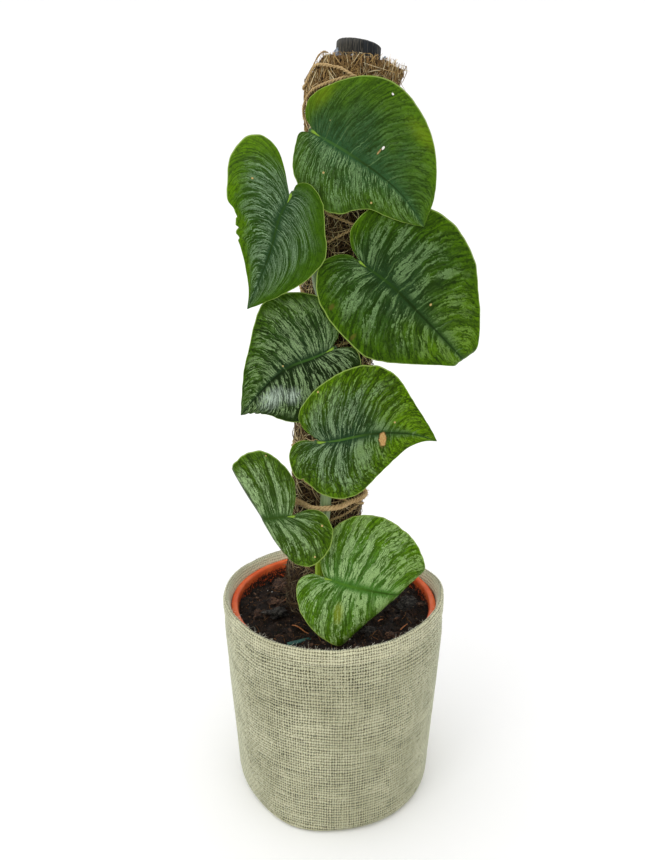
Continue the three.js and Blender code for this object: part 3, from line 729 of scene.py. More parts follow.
def roughStone(sheet, draw, place, size, subdivisions=1, spread=0.28, aim=None):
    made = bmesh.ops.create_icosphere(sheet, subdivisions=subdivisions, radius=1)
    turn = Matrix.Rotation(draw.uniform(0, 6.3) if aim is None else aim, 4, "Z")
    turn @= Matrix.Rotation(draw.uniform(-0.5, 0.5), 4, "X") @ Matrix.Rotation(draw.uniform(-0.4, 0.4), 4, "Y")
    stretch = Matrix.Diagonal((*size, 1))
    seed = draw.uniform(0, 90)
    for vertex in made["verts"]:
        ball = vertex.co.copy()
        push = 1 + spread * wander(ball.x * 1.7 + seed, ball.y * 1.7, ball.z * 1.7)
        push += 0.5 * spread * wander(ball.x * 1.5 + seed, ball.y * 6.5, ball.z * 6.5)
        push += 0.3 * spread * wander(ball.x * 8, ball.y * 8 + seed, ball.z * 8)
        vertex.co = (turn @ stretch @ (ball * push)) + place


def scattered(draw, reach, low, high):  # a place on the soil, drawn as an angle and a distance
    angle = draw.uniform(0, tau)
    return around(angle, reach * sqrt(draw.uniform(low, high))).xy


def makeSoil():
    earth = earthFinish("potting soil", 0.9)
    lumps = []
    for name, (dark, pale, bright) in soil["barkColours"].items():
        bark = Finish(name, 0.8, Specular_IOR_Level=0.25)
        grain = bark.noise(bark.vector("MULTIPLY", bark.place, (0.5, 1.3, 2.5)), 0.9, 5, 0.7)
        tone = bark.ramp(bark.noise(bark.place, 0.35, 3), 0.35, 0.7, dark, pale)
        tone = bark.ramp(grain, 0.42, 0.56, soil["barkGap"], tone)
        bark.colour(bark.wash(tone, (grain, 0.6, 0.74, 0.6, bright)))
        bark.bump(grain, 1.2, 1.0)
        bark.bump(bark.noise(bark.place, 2.2, 4, 0.7), 0.5, 0.9)
        lumps.append(bark)
    edge = soil["edge"]

    def top(u, v):
        x, y = around(tau * u, edge * (1 - v)).xy
        return Vector((x, y, crumbled(x, y) if v < 1 else soilSurface(0, 0)))

    sheet = gridSheet(330, 84, top)
    closeSeams(sheet, 0.01)
    floor = pot["floor"] + 2.4
    pulled = bmesh.ops.extrude_edge_only(sheet, edges=openEdges(sheet))
    for vertex in [item for item in pulled["geom"] if isinstance(item, bmesh.types.BMVert)]:
        vertex.co *= (potInside(floor + 2) - 1.5) / edge
        vertex.co.z = floor
    capHoles(sheet)
    finishPiece("soil_body", sheet, [earth], ["soil"])

    draw = random.Random(11)
    crumbs = bmesh.new()
    for index in range(soil["crumbs"]):
        x, y = scattered(draw, edge, 0.02, 0.97)
        wide = draw.uniform(0.3, 1.05) * (2.0 if index % 9 == 0 else 1)
        place = Vector((x, y, crumbled(x, y) + wide * 0.3))
        size = (wide, wide * draw.uniform(0.5, 1), wide * draw.uniform(0.5, 0.9))
        roughStone(crumbs, draw, place, size, spread=0.6)
    finishPiece("soil_crumbs", crumbs, [earth], smooth=False)

    chips = bmesh.new()
    for index in range(soil["chips"]):
        x, y = scattered(draw, 64, 0.1, 1)
        length = draw.uniform(1.6, 4.2)
        place = Vector((x, y, crumbled(x, y) + draw.uniform(0.1, 0.6)))
        size = (length, length * draw.uniform(0.25, 0.5), draw.uniform(0.6, 1.2))
        roughStone(chips, draw, place, size, 2, 0.6)
    for (x, y), length, wide, aim, lift, kind in barkChunks:
        place = Vector((x, y, soilSurface(x, y) + lift))
        before = len(chips.faces)
        roughStone(chips, draw, place, (length, wide, 2.6), 4, 0.6, radians(aim))
        chips.faces.ensure_lookup_table()
        for face in chips.faces[before:]:
            face.material_index = int(kind == "slate")
    finishPiece("bark_chips", chips, lumps)

    pith = []
    for index in range(soil["pith"]):
        x, y = scattered(draw, edge, 0.02, 0.95)
        phase = atan2(y, x)
        heading, bend, length = draw.uniform(0, 6.3), draw.uniform(-1, 1), draw.uniform(2, 9)
        thick = draw.uniform(0.12, 0.32)
        path = []
        for step in range(5):
            place = Vector((x, y, crumbled(x, y) + 0.5 + 0.4 * sin(step + phase)))
            path.append((place, thick * (1 - 0.12 * step)))
            x += cos(heading) * length / 4
            y += sin(heading) * length / 4
            heading += bend * 0.5
            if hypot(x, y) > edge - 0.6:
                break
        if len(path) > 2:
            pith.append(path)
    fibreFinish = Finish("soil fibre", 0.85, Specular_IOR_Level=0.2)
    fibreFinish.colour(fibreFinish.ramp(fibreFinish.island(), 0.5, 1.0, *soil["pithColours"]))
    finishPiece("soil_fibres", strands(pith, 3), [fibreFinish])

    white = Finish("perlite", 0.8)
    white.colour(white.mix(white.island(), *soil["perliteColours"]))
    white.bump(white.noise(white.place, 2.5, 3), 0.2, 0.6)
    beads = bmesh.new()
    for index in range(soil["perlite"]):
        x, y = scattered(draw, 66, 0.1, 1)
        wide = draw.uniform(0.3, 0.7)
        roughStone(beads, draw, Vector((x, y, crumbled(x, y) + 0.4)), (wide, wide, wide * 0.8))
    finishPiece("perlite_bits", beads, [white])

    sliver = mottled("wood sliver", 0.6, 1.4, *soil["sliverColours"])
    paths = []
    for start, end in orangeSlivers:
        path = []
        for step in range(7):
            share = step / 6
            x = start[0] + (end[0] - start[0]) * share
            y = start[1] + (end[1] - start[1]) * share + 0.5 * sin(share * 4)
            path.append((Vector((x, y, soilSurface(x, y) + 2.4)), 0.45 * (1 - abs(share - 0.45)) + 0.05))
        paths.append(path)
    finishPiece("wood_slivers", strands(paths, 5), [sliver])


# Pole: a round stake in a sleeve of matted coir, leaning a little to the right

pole = {
    "lean": 3.3, "footX": -18.2, "footZ": 12,
    "stakeRadius": 13.5, "stakeTop": 514.6, "stakeShift": 2.4,
    "coirRadius": 24.8, "coirTop": 501.5, "coirFlare": 2.2, "coirFlareFrom": 430,
    "fibres": 6000,
    "tufts": {              # how many, how far they go out, up and round, their length and their thickness
        "top": (1500, (-0.08, 0.22), (0.7, 1.0), (-0.35, 0.35), (4, 10), (0.10, 0.22)),
        "loose": (200, (0.3, 0.8), (-0.8, 0.9), (-0.9, 0.9), (3, 9), (0.10, 0.22)),
        "base": (520, (0.3, 0.8), (-0.8, 0.9), (-0.9, 0.9), (3, 9), (0.2, 0.42)),
    },
    "darkerBetween": (205, 155),                     # heights between which the coir darkens
    "filmFoot": 470,
    # the first stake colours are painted light and shade: lighter on the left, darker on the right
    "stakeLitAndShadedSides": ((74, 70, 60), (34, 38, 43)), "stakeGrain": (9, 10, 12), "stakeLines": (112, 106, 92),
    # a painted highlight along the top edge of the stake
    "stakeTopHighlight": (104, 106, 108),
    # the gap colours are painted shade between the matted fibres, paler near the top
    "gapShade": (28, 18, 9), "topGapShade": (150, 116, 70), "bottomGapShade": (22, 14, 9), "bottomFibre": (46, 29, 18),
    "fibreColour": (112, 84, 50), "darkFibre": (92, 68, 40), "tanFibre": (226, 202, 150),
    "topFibre": (200, 164, 102), "paleFibre": (250, 236, 192), "filmColours": ((60, 68, 78), (164, 174, 186)),
}
poleMatrix = Matrix.Translation((pole["footX"], 0, 0)) @ Matrix.Rotation(radians(pole["lean"]), 4, "Y")


def onPole(*place):
    return poleMatrix @ Vector(place)


def coirOuter(height):
    return pole["coirRadius"] + pole["coirFlare"] * smoothStep(height, pole["coirFlareFrom"], pole["coirTop"])


def coirShape(angle, height):  # extra reach of the sleeve: wider at the left near the top, a flap at the right
    wide = 1.8 * smoothStep(height, 425, 470) * max(-cos(angle), 0)
    return wide + 4.6 * hump(turned(angle), 0.2) * smoothStep(height, 484, 500)


def coirTopHeight(angle):
    cut = 12 * smoothStep(-cos(angle), 0.70, 1.0)
    return pole["coirTop"] - cut + 1.5 * ringNoise(angle, 4, 7)


def makeStake():
    wood = Finish("weathered stake", 0.65, Specular_IOR_Level=0.15)
    x, y, z = wood.split(wood.place)
    run = wood.combine(x, y, z * 0.06)
    grain = wood.noise(run, 0.75, 5, 0.6)
    lines = wood.noise(run, 2.4, 3, 0.6)
    # painted light and shade: the stake is lighter to the left and darker to the right
    shade = wood.ramp(x, 2, 20, *pole["stakeLitAndShadedSides"])
    shade = wood.mix(wood.ease(grain, 0.38, 0.62, 0.85, 0), shade, pole["stakeGrain"])
    # the grain lines, then a painted highlight: a paler band along the top edge
    shade = wood.wash(shade, (lines, 0.52, 0.66, 0.6, pole["stakeLines"]),
                      (z, 509, 514, 0.25, pole["stakeTopHighlight"]))
    wood.colour(shade)
    wood.roughness(wood.ease(grain, 0.3, 0.7, 0.5, 0.75))
    wood.bump(lines, 0.35, 0.6)
    wood.bump(grain, 0.6, 0.4)
    radius, top = pole["stakeRadius"], pole["stakeTop"]
    foot = pole["footZ"]
    heights = [(0, foot), (radius, foot)]
    heights += [(radius, foot + (top - 1.2 - foot) * step / 60) for step in range(1, 61)]
    heights += [(radius - 0.4, top - 0.4), (radius - 1.2, top)]
    heights += [(radius * share, top + 0.15) for share in (0.75, 0.5, 0.25, 0)]

    def skin(u, v):
        reach, height = heights[round(v * (len(heights) - 1))]
        angle = tau * u
        groove = 0.22 * ringNoise(angle, 7, height * 0.012) + 0.12 * ringNoise(angle, 17, height * 0.02)
        reach = max(reach + (groove if reach > 9 else 0), 0)
        x, y = around(angle, reach).xy
        height -= 0.10 * (x + radius) * smoothStep(height, top - 40, top)   # sawn off at a slant
        if height > top - 3:
            height += 0.12 * wander(x * 0.5, y * 0.5, 2)
        return onPole(x + pole["stakeShift"], y, height)

    finishPiece("stake_wood", closedSheet(110, len(heights) - 1, skin), [wood], ["support_stake"])


def coirFinish(name, own):
    coir = Finish(name, 0.88, Specular_IOR_Level=0.2)
    tangle = coir.noise(coir.vector("MULTIPLY", coir.place, (1, 1, 0.55)), 0.9, 5, 0.7, 0.6)
    patch = coir.noise(coir.place, 0.06, 3)
    _, _, height = coir.split(coir.place)
    atTop = coir.ease(height, 425, 475)
    if own:
        fresh = coir.mix(atTop, pole["tanFibre"], pole["topFibre"])
        tone = coir.ramp(coir.island(), 0.15, 0.85, pole["darkFibre"], fresh)
        tone = coir.ramp(coir.island(), 0.72, 0.88, tone, pole["paleFibre"])
        tone = coir.wash(tone, (patch, 0.35, 0.7, 0.25, pole["fibreColour"]))
        tone = coir.mix(atTop * 0.15, tone, pole["topFibre"])
        # paler fibres in the tangles, then darker towards the bottom
        tone = coir.wash(tone, (tangle, 0.45, 0.75, 0.3, pole["tanFibre"]),
                         (height, 290, 230, 0.2, pole["darkFibre"]),
                         (height, *pole["darkerBetween"], 0.8, pole["bottomFibre"]))
    else:
        # painted shade: the troughs of the tangle take the dark gap colour, paler near the top
        tone = coir.ramp(tangle, 0.42, 0.72, pole["gapShade"], pole["fibreColour"])
        tone = coir.mix(atTop * coir.ease(tangle, 0.45, 0.65), tone, pole["topGapShade"])
        tone = coir.wash(tone, (height, *pole["darkerBetween"], 0.7, pole["bottomGapShade"]))
        coir.bump(tangle, 1.2, 0.9)
    coir.colour(tone)
    return coir


def makeCoir():
    core = coirFinish("matted coir", False)
    fibre = coirFinish("coir fibre", True)
    top = pole["coirTop"]
    inside = pole["stakeRadius"] + 0.4
    foot = pole["footZ"]
    levels = [(inside, foot), (pole["coirRadius"] - 0.6, foot)]
    levels += [(None, 20 + (top - 24) * step / 150) for step in range(151)]
    levels += [(None, top - 1.5), (24.6, top - 0.2), (22.5, top + 0.6), (20, top + 0.8), (17, top + 0.3),
               (inside, top - 1), (inside, 260), (inside, foot)]

    def skin(u, v):
        reach, height = levels[round(v * (len(levels) - 1))]
        angle = tau * u
        onSkin = reach is None              # the sleeve's outer side
        if height > top - 20:
            height = top - 20 + (height - top + 20) * (coirTopHeight(angle) - top + 20) / 20
        if onSkin:
            reach = coirOuter(height) - 0.7 + coirShape(angle, height)
            lump = ringNoise(angle, 2.2, height * 0.05) + 0.6 * ringNoise(angle, 9, height * 0.22)
            reach += 0.9 * lump * smoothStep(height, soil["height"], soil["height"] + 14)
        elif reach > 24:
            reach += coirShape(angle, height)
        x, y = around(angle, reach).xy
        return onPole(x + (pole["stakeShift"] if reach < inside + 1 else 0), y, height)

    finishPiece("coir_mat", closedSheet(120, len(levels) - 1, skin), [core], ["coir_wrap"])

    draw = random.Random(21)
    paths = []
    for index in range(pole["fibres"]):
        angle = draw.uniform(0, tau)
        height = draw.uniform(soil["height"] + 1, top - 4)
        heading = draw.gauss(0, 0.85) + (pi / 2 if draw.random() < 0.35 else 0)
        bend = draw.uniform(-1.1, 1.1)
        length = draw.uniform(7, 22)
        lift = draw.uniform(0.2, 1.2) if draw.random() < 0.85 else draw.uniform(1.2, 2.2)
        thick = draw.uniform(0.13, 0.36)
        path = []
        for step in range(5):
            share = step / 4
            reach = coirOuter(height) + coirShape(angle, height) - 0.5 + lift * sin(pi * share)
            place = onPole(*around(angle, reach, min(height, coirTopHeight(angle) + 1)))
            path.append((place, thick * (1 - 0.45 * abs(2 * share - 1))))
            way = heading + bend * (share - 0.5)
            angle += sin(way) * length / 4 / reach
            height = max(height + cos(way) * length / 4, soil["height"] - 2)
        paths.append(path)
    finishPiece("coir_fibres", strands(paths, 3), [fibre])

    paths = []
    ends = [(kind, index, ranges) for kind, (count, *ranges) in pole["tufts"].items() for index in range(count)]
    for kind, index, (*spread, thickness) in ends:
        angle = draw.uniform(0, tau)
        crown = coirTopHeight(angle)
        low, high = (crown - 17, crown - 1) if kind == "top" else (soil["height"] + 6, crown)
        height = draw.uniform(low, high)
        if kind == "base":
            height = draw.uniform(soil["height"] - 2, soil["height"] + 32)
        reach = skin = coirOuter(height) + coirShape(angle, height) - 0.4
        if kind == "top" and draw.random() >= 0.6:
            reach = draw.uniform(18, skin)
        outwards, rise, side, length = [draw.uniform(*reaches) for reaches in spread]
        curl = draw.uniform(-0.3, 0.3)
        thick = draw.uniform(*thickness)
        if kind == "top":
            rise = min(rise, max(crown + (1.5 if index % 6 else 4.5) - height, 0.5) / (0.75 * length))
        path = []
        for step in range(7):
            share = step / 6
            out = reach + outwards * length * share
            swing = angle + (side * share + curl * share * share) * length / out * 0.6
            up = height + rise * length * share * (1 - 0.25 * share)
            path.append((onPole(*around(swing, out, up)), thick * (1 - 0.6 * share)))
        paths.append(path)
    finishPiece("coir_tufts", strands(paths, 3), [fibre])

    film = Finish("torn film", 0.35, Specular_IOR_Level=0.5)
    crease = film.noise(film.place, 0.5, 4, 0.6, 0.8)
    film.colour(film.ramp(crease, 0.35, 0.65, *pole["filmColours"]))
    film.bump(crease, 1.5, 0.7)

    foot = pole["filmFoot"]

    def collar(u, v):  # a torn strip of plastic film between the stake and the coir
        angle = tau * u
        outer = v < 0.5
        share = (v if outer else 1 - v) * 2
        torn = coirTopHeight(angle) + 1.0 + 3.4 * ringNoise(angle, 2.5, 4) + 1.2 * ringNoise(angle, 11, 1)
        for middle, rise in ((-2.5, 3.6), (-0.35, 2.6)):
            torn += rise * hump(turned(angle - middle), 0.3)
        height = foot + (torn - foot) * share
        reach = 18.6 + 1.2 * ringNoise(angle, 3, height / 9) + (0.3 if outer else 0)
        return onPole(reach * cos(angle) + 1, reach * sin(angle), height)

    finishPiece("film_strip", closedSheet(180, 24, collar), [film])


# Twine wound up the pole and back down, and the thicker tie that holds the stem

twine = {
    "radius": 0.55, "ply": 2, "twist": 4.6, "pitch": 60, "bottom": 145,
    "up": [(145, -0.163), (380, 3.753), (483.4, 4.848), (490.4, 4.993)],    # height, and turns from the front
    "down": [(145, -0.497), (380, 3.42), (413.8, 4.061), (490.4, 5.0075), (493.9, 5.044), (495.8, 5.0975),
             (497.1, 5.143)],
    "paleColour": (240, 212, 160), "darkColour": (156, 126, 80), "patchColour": (168, 136, 86),
    "bottomColour": (52, 36, 23),
}
tie = {"radius": 0.95, "ply": 3, "twist": 8.5, "height": 224.7, "slope": (0.086, -0.1)}


def twineTurns(height, hand):
    marks = twine["up"] if hand > 0 else twine["down"]
    for (low, start), (high, end) in zip(marks, marks[1:]):
        if height <= high:
            break
    return start + (end - start) * (height - low) / (high - low)


def twinePoint(height, hand):  # going up (hand 1), or coming down (hand -1) on top of the other
    angle = -pi / 2 + hand * tau * twineTurns(height, hand)
    met = twineTurns(height, 1) + twineTurns(height, -1)
    aside = (met - round(met)) * twine["pitch"] / 2
    over = 0 if hand > 0 else 1.7 * hump(aside, 2.6)
    reach = coirOuter(height) + coirShape(angle, height) + 0.9 + over
    reach += 0.25 * wander(height * 0.11, hand * 3)
    return around(angle, reach, min(height, coirTopHeight(angle) - 2.5))


def tieHeight(x, y):
    return tie["height"] + tie["slope"][0] * x + tie["slope"][1] * y


def juteFinish():
    jute = Finish("jute twine", 0.88, Specular_IOR_Level=0.2)
    fine = jute.noise(jute.place, 3.2, 4, 0.7)
    patch = jute.noise(jute.place, 0.12, 2)
    tone = jute.ramp(fine, 0.35, 0.7, twine["darkColour"], twine["paleColour"])
    tone = jute.wash(tone, (patch, 0.4, 0.7, 0.3, twine["patchColour"]))
    low = jute.ease(jute.split(jute.place)[2], 205, 165, 0, 0.85)         # darker towards the bottom
    jute.colour(jute.mix(low, tone, twine["bottomColour"]))
    jute.bump(fine, 0.2, 0.8)
    return jute


def offPole(point):
    return Vector((point.x, point.y, 0)).normalized()


def laidRope(line, settings, away, sheet=None, sides=6):
    # strands wound round the line; away(point) points off what the rope lies on
    length = sum((b - a).length for a, b in zip(line, line[1:]))
    steps = int(length / settings["twist"] * 8)
    points = evenly(line, steps)
    paths = []
    for ply in range(settings["ply"]):
        path = []
        for index, point in enumerate(points):
            ahead = points[min(index + 1, steps)] - points[max(index - 1, 0)]
            ahead.normalize()
            out = away(point)
            out -= ahead * out.dot(ahead)
            out.normalize()
            across = ahead.cross(out)
            angle = tau * (index / 8 + ply / settings["ply"])
            off = settings["radius"] * (0.92 if settings["ply"] == 2 else 1.08)
            thick = settings["radius"] * (1 + 0.14 * wander(index * 0.21, ply * 7.7))
            path.append((point + (out * sin(angle) + across * cos(angle)) * off, thick))
        paths.append(path)
    return strands(paths, sides, sheet)


def fuzz(line, draw, count, reach, length, sheet):
    paths = []
    for index in range(count):
        point = line[draw.randrange(len(line))]
        out = offPole(point)
        side = Vector([draw.uniform(-1, 1) for axis in "xyz"])
        lean = (out * draw.uniform(0.1, 0.9) + side).normalized()
        bend = Vector([draw.uniform(-1, 1) for axis in "xyz"]) * 0.5
        size = draw.uniform(0.5, 1) * length
        paths.append([(point + lean * reach * 0.6 + (lean * share + bend * share * share) * size,
                       0.07 * (1 - 0.6 * share)) for share in (0, 0.33, 0.66, 1)])
    return strands(paths, 3, sheet)


def makeTwine():
    jute = juteFinish()
    step = 0.49
    line = []
    height = twine["bottom"]
    while height <= twine["up"][-1][0]:
        line.append(twinePoint(height, 1))
        height += step
    start = atan2(line[-1].y, line[-1].x)
    last = twinePoint(twine["down"][-1][0], -1)
    upTop = line[-1].z
    turn = (atan2(last.y, last.x) - start) % tau
    for index in range(1, 90):  # once round the top before it comes back down
        share = index / 90
        angle = start + turn * share
        height = upTop + (last.z - upTop) * smoothStep(share, 0.2, 0.95)
        height = min(height - 3.4 * sin(pi * min(share / 0.6, 1)), coirTopHeight(angle) - 2.5)
        ring = coirOuter(height) + coirShape(angle, height) + 0.9
        line.append(around(angle, ring, height))
    height = twine["down"][-1][0]
    while height >= twine["bottom"] + 6:
        line.append(twinePoint(height, -1))
        height -= step

    sheet = laidRope(line, twine, offPole, sides=4)
    fuzz(line, random.Random(5), 900, 0.9, 2.2, sheet)
    bmesh.ops.transform(sheet, matrix=poleMatrix, verts=sheet.verts)
    finishPiece("twine_cord", sheet, [jute], ["twine_binding"])

    ropeReach = pole["coirRadius"] + 2.4
    centre = stemCentre(tie["height"])
    front = atan2(centre.y, centre.x)
    bulge = stem["standOff"] + stem["radius"] + 0.3 + 1.65 - 2.4
    loop = []
    for index in range(241):
        angle = front + pi + index / 240 * tau * 0.99
        off = turned(angle - front)
        reach = ropeReach + bulge * exp(-((abs(off) / 0.44) ** 2.6))
        x, y = around(angle, reach).xy
        loop.append(Vector((x, y, tieHeight(x, y) + index / 240 * 1.2 + 0.5 * wander(index * 0.05, 3))))
    sheet = laidRope(loop, tie, offPole)
    back = front + pi
    outwards = around(back, 1)
    across = Vector((-sin(back), cos(back), 0))
    knot = outwards * (ropeReach + 0.8)
    knot.z = tieHeight(knot.x, knot.y) + 0.6
    turns = []
    for index in range(49):
        angle = index / 48 * 4 * pi
        turns.append(knot + across * 2.4 * cos(angle) + Vector((0, 0, 2.0 * sin(angle)))
                     + outwards * (0.9 * sin(angle * 0.5) + 0.3))
    laidRope(turns, tie, lambda point: outwards.copy(), sheet)
    for side in (-1, 1):
        tail = [(0.5, 0, 0), (3.2, 3 * side, -5), (3.0, 7 * side, -14), (4.0, 9 * side, -21)]
        line = curveThrough([knot + outwards * out + across * aside + Vector((0, 0, drop))
                             for out, aside, drop in tail], 40)
        laidRope(line, tie, lambda point: outwards.copy(), sheet)
        fuzz(line, random.Random(8 + side), 60, 1.2, 3.0, sheet)
    fuzz(loop, random.Random(6), 520, 1.9, 3.2, sheet)
    bmesh.ops.transform(sheet, matrix=poleMatrix, verts=sheet.verts)
    finishPiece("jute_tie", sheet, [jute], ["stem_tie"])


# Vine stem with its leaf nodes and aerial roots

stem = {
    "radius": 3.6, "nodeSwell": 0.5, "standOff": 7, "bottom": 98, "top": 474,
    "nodes": (440, 402, 372, 316, 259, 199, 160),
    "swing": ((98, 2), (150, -1), (190, -5.5), (232, -2), (300, 3), (326, -9), (345, -14), (396, -33),
              (422, -33), (446, -17), (474, -8)),       # height, and degrees round from the front
    "tip": 9, "rootsPerNode": 8, "rootColours": ((92, 70, 42), (150, 126, 84)), "streakColour": (156, 172, 120),
    "greenColour": (104, 126, 82), "limeColour": (150, 186, 2), "scarColour": (116, 98, 66),
}


def stemCentre(height):
    angle = stem["swing"][-1][1]
    for (low, start), (high, end) in zip(stem["swing"], stem["swing"][1:]):
        if low <= height <= high:
            angle = start + (end - start) * smoothStep(height, low, high)
    reach = coirOuter(height) + stem["standOff"]
    return Vector((reach * sin(radians(angle)), -reach * cos(radians(angle)), height))


def stemSize(height):
    swell = max((hump(height - node, 4) for node in stem["nodes"]))
    slim = 1 - 0.3 * smoothStep(height, 380, 480) - 0.3 * smoothStep(height, 205, 185)
    return (stem["radius"] + stem["nodeSwell"] * swell) * slim


def makeStem():
    skin = Finish("stem skin", 0.5)
    x, y, z = skin.split(skin.place)
    run = skin.combine(x, y, z * 0.08)
    streak = skin.noise(run, 1.6, 4, 0.6)
    blotch = skin.noise(skin.place, 0.25, 3)
    tone = skin.ramp(z, 206, 220, stem["limeColour"], stem["greenColour"])
    streaked = skin.ease(streak, 0.4, 0.7, 0, 0.6) * skin.ease(z, 204, 216, 0.15, 1)
    tone = skin.mix(streaked, tone, stem["streakColour"])
    tone = skin.wash(tone, (blotch, 0.6, 0.72, 0.5, stem["scarColour"]))
    skin.colour(tone)
    skin.bump(streak, 0.35, 0.6)
    low, high, tip = stem["bottom"], stem["top"], stem["tip"]

    def side(u, v):
        height = low + (high + tip - low) * v
        centre = stemCentre(min(height, high))
        size = stemSize(min(height, high))
        if height > high:
            size *= sqrt(max(1 - ((height - high) / tip) ** 2, 0))
        angle = tau * u
        size *= 1 + 0.05 * cos(7 * angle + height * 0.01)
        ring = min(abs(height - node - 1.5) for node in stem["nodes"])
        size -= 0.18 * hump(ring, 0.7)
        return onPole(centre.x + size * cos(angle), centre.y + size * sin(angle), height)

    finishPiece("stem_vine", closedSheet(42, 420, side), [skin], ["vine_stem"])

    rootFinish = mottled("aerial root", 0.75, 0.7, *stem["rootColours"])
    rootFinish.bump(rootFinish.noise(rootFinish.place, 2.2, 3), 0.2, 0.6)
    draw = random.Random(31)
    paths = []
    for node in stem["nodes"]:
        centre = stemCentre(node)
        facing = atan2(centre.y, centre.x)
        far = centre.to_2d().length
        for index in range(stem["rootsPerNode"]):
            hand = -1 if index % 2 else 1
            big = index < 2
            height = node + (0 if big else draw.uniform(-12, 8))
            swingEnd = 33 if big else draw.uniform(14, 44)
            drop = -3 if big else draw.uniform(-9, 7)
            thick = 0.8 if big else draw.uniform(0.3, 0.55)
            ground = coirOuter(height)
            route = [(far, 0, 0), (ground + 3.6, 0.24, 0.2), (ground + 1.0, 0.5, 0.5),
                     (ground + 0.5, 0.75, 0.8), (ground + 0.2, 1.0, 1.0)]
            line = []
            for out, share, fall in route:
                angle = facing + hand * radians(swingEnd) * share
                line.append((out * cos(angle), out * sin(angle), height + drop * fall))
            fine = curveThrough(line, 12)
            paths.append([(onPole(*point), thick * (1 - 0.5 * step / 12)) for step, point in enumerate(fine)])
    finishPiece("aerial_roots", strands(paths, 6), [rootFinish])


# Split stick lying in the soil at the front

stick = {
    "length": 19, "radius": 1.55, "turn": 17, "tilt": -4, "place": (-22.6, -50), "lift": 0.8,
    "darkColour": (18, 54, 48), "paleColour": (40, 102, 90), "scarColour": (120, 140, 96),
}


def makeStick():
    cane = Finish("green cane", 0.5)
    x, y, z = cane.split(cane.place)
    streak = cane.noise(cane.combine(x * 0.2, y, z), 2.2, 4, 0.6)
    tone = cane.ramp(streak, 0.35, 0.7, stick["darkColour"], stick["paleColour"])
    cane.colour(cane.wash(tone, (streak, 0.68, 0.78, 0.6, stick["scarColour"])))
    cane.bump(streak, 0.3, 0.7)
    lie = Matrix.Rotation(radians(stick["turn"]), 4, "Z") @ Matrix.Rotation(radians(stick["tilt"]), 4, "Y")

    def skin(u, v):
        along = (v - 0.5) * stick["length"]
        angle = tau * u
        size = stick["radius"] * (0.85 + 0.15 * sin(pi * v))
        flat = min(sin(angle), 0.35)
        worn = 1 + 0.16 * ringNoise(angle, 3, v * 9)
        end = 1.2 * ringNoise(angle, 2.4, 5 if v < 0.5 else 8) * (abs(2 * v - 1) > 0.9)
        local = Vector((along + end, size * cos(angle) * worn, size * flat * 0.8 * worn))
        return lie @ local + Vector((*stick["place"], soil["height"] + stick["lift"]))

    finishPiece("cane_stick", closedSheet(28, 44, skin), [cane], ["split_stick"])


# Leaves. Each is drawn flat in millimetres from its junction with the petiole: x to the tip, y to the left.

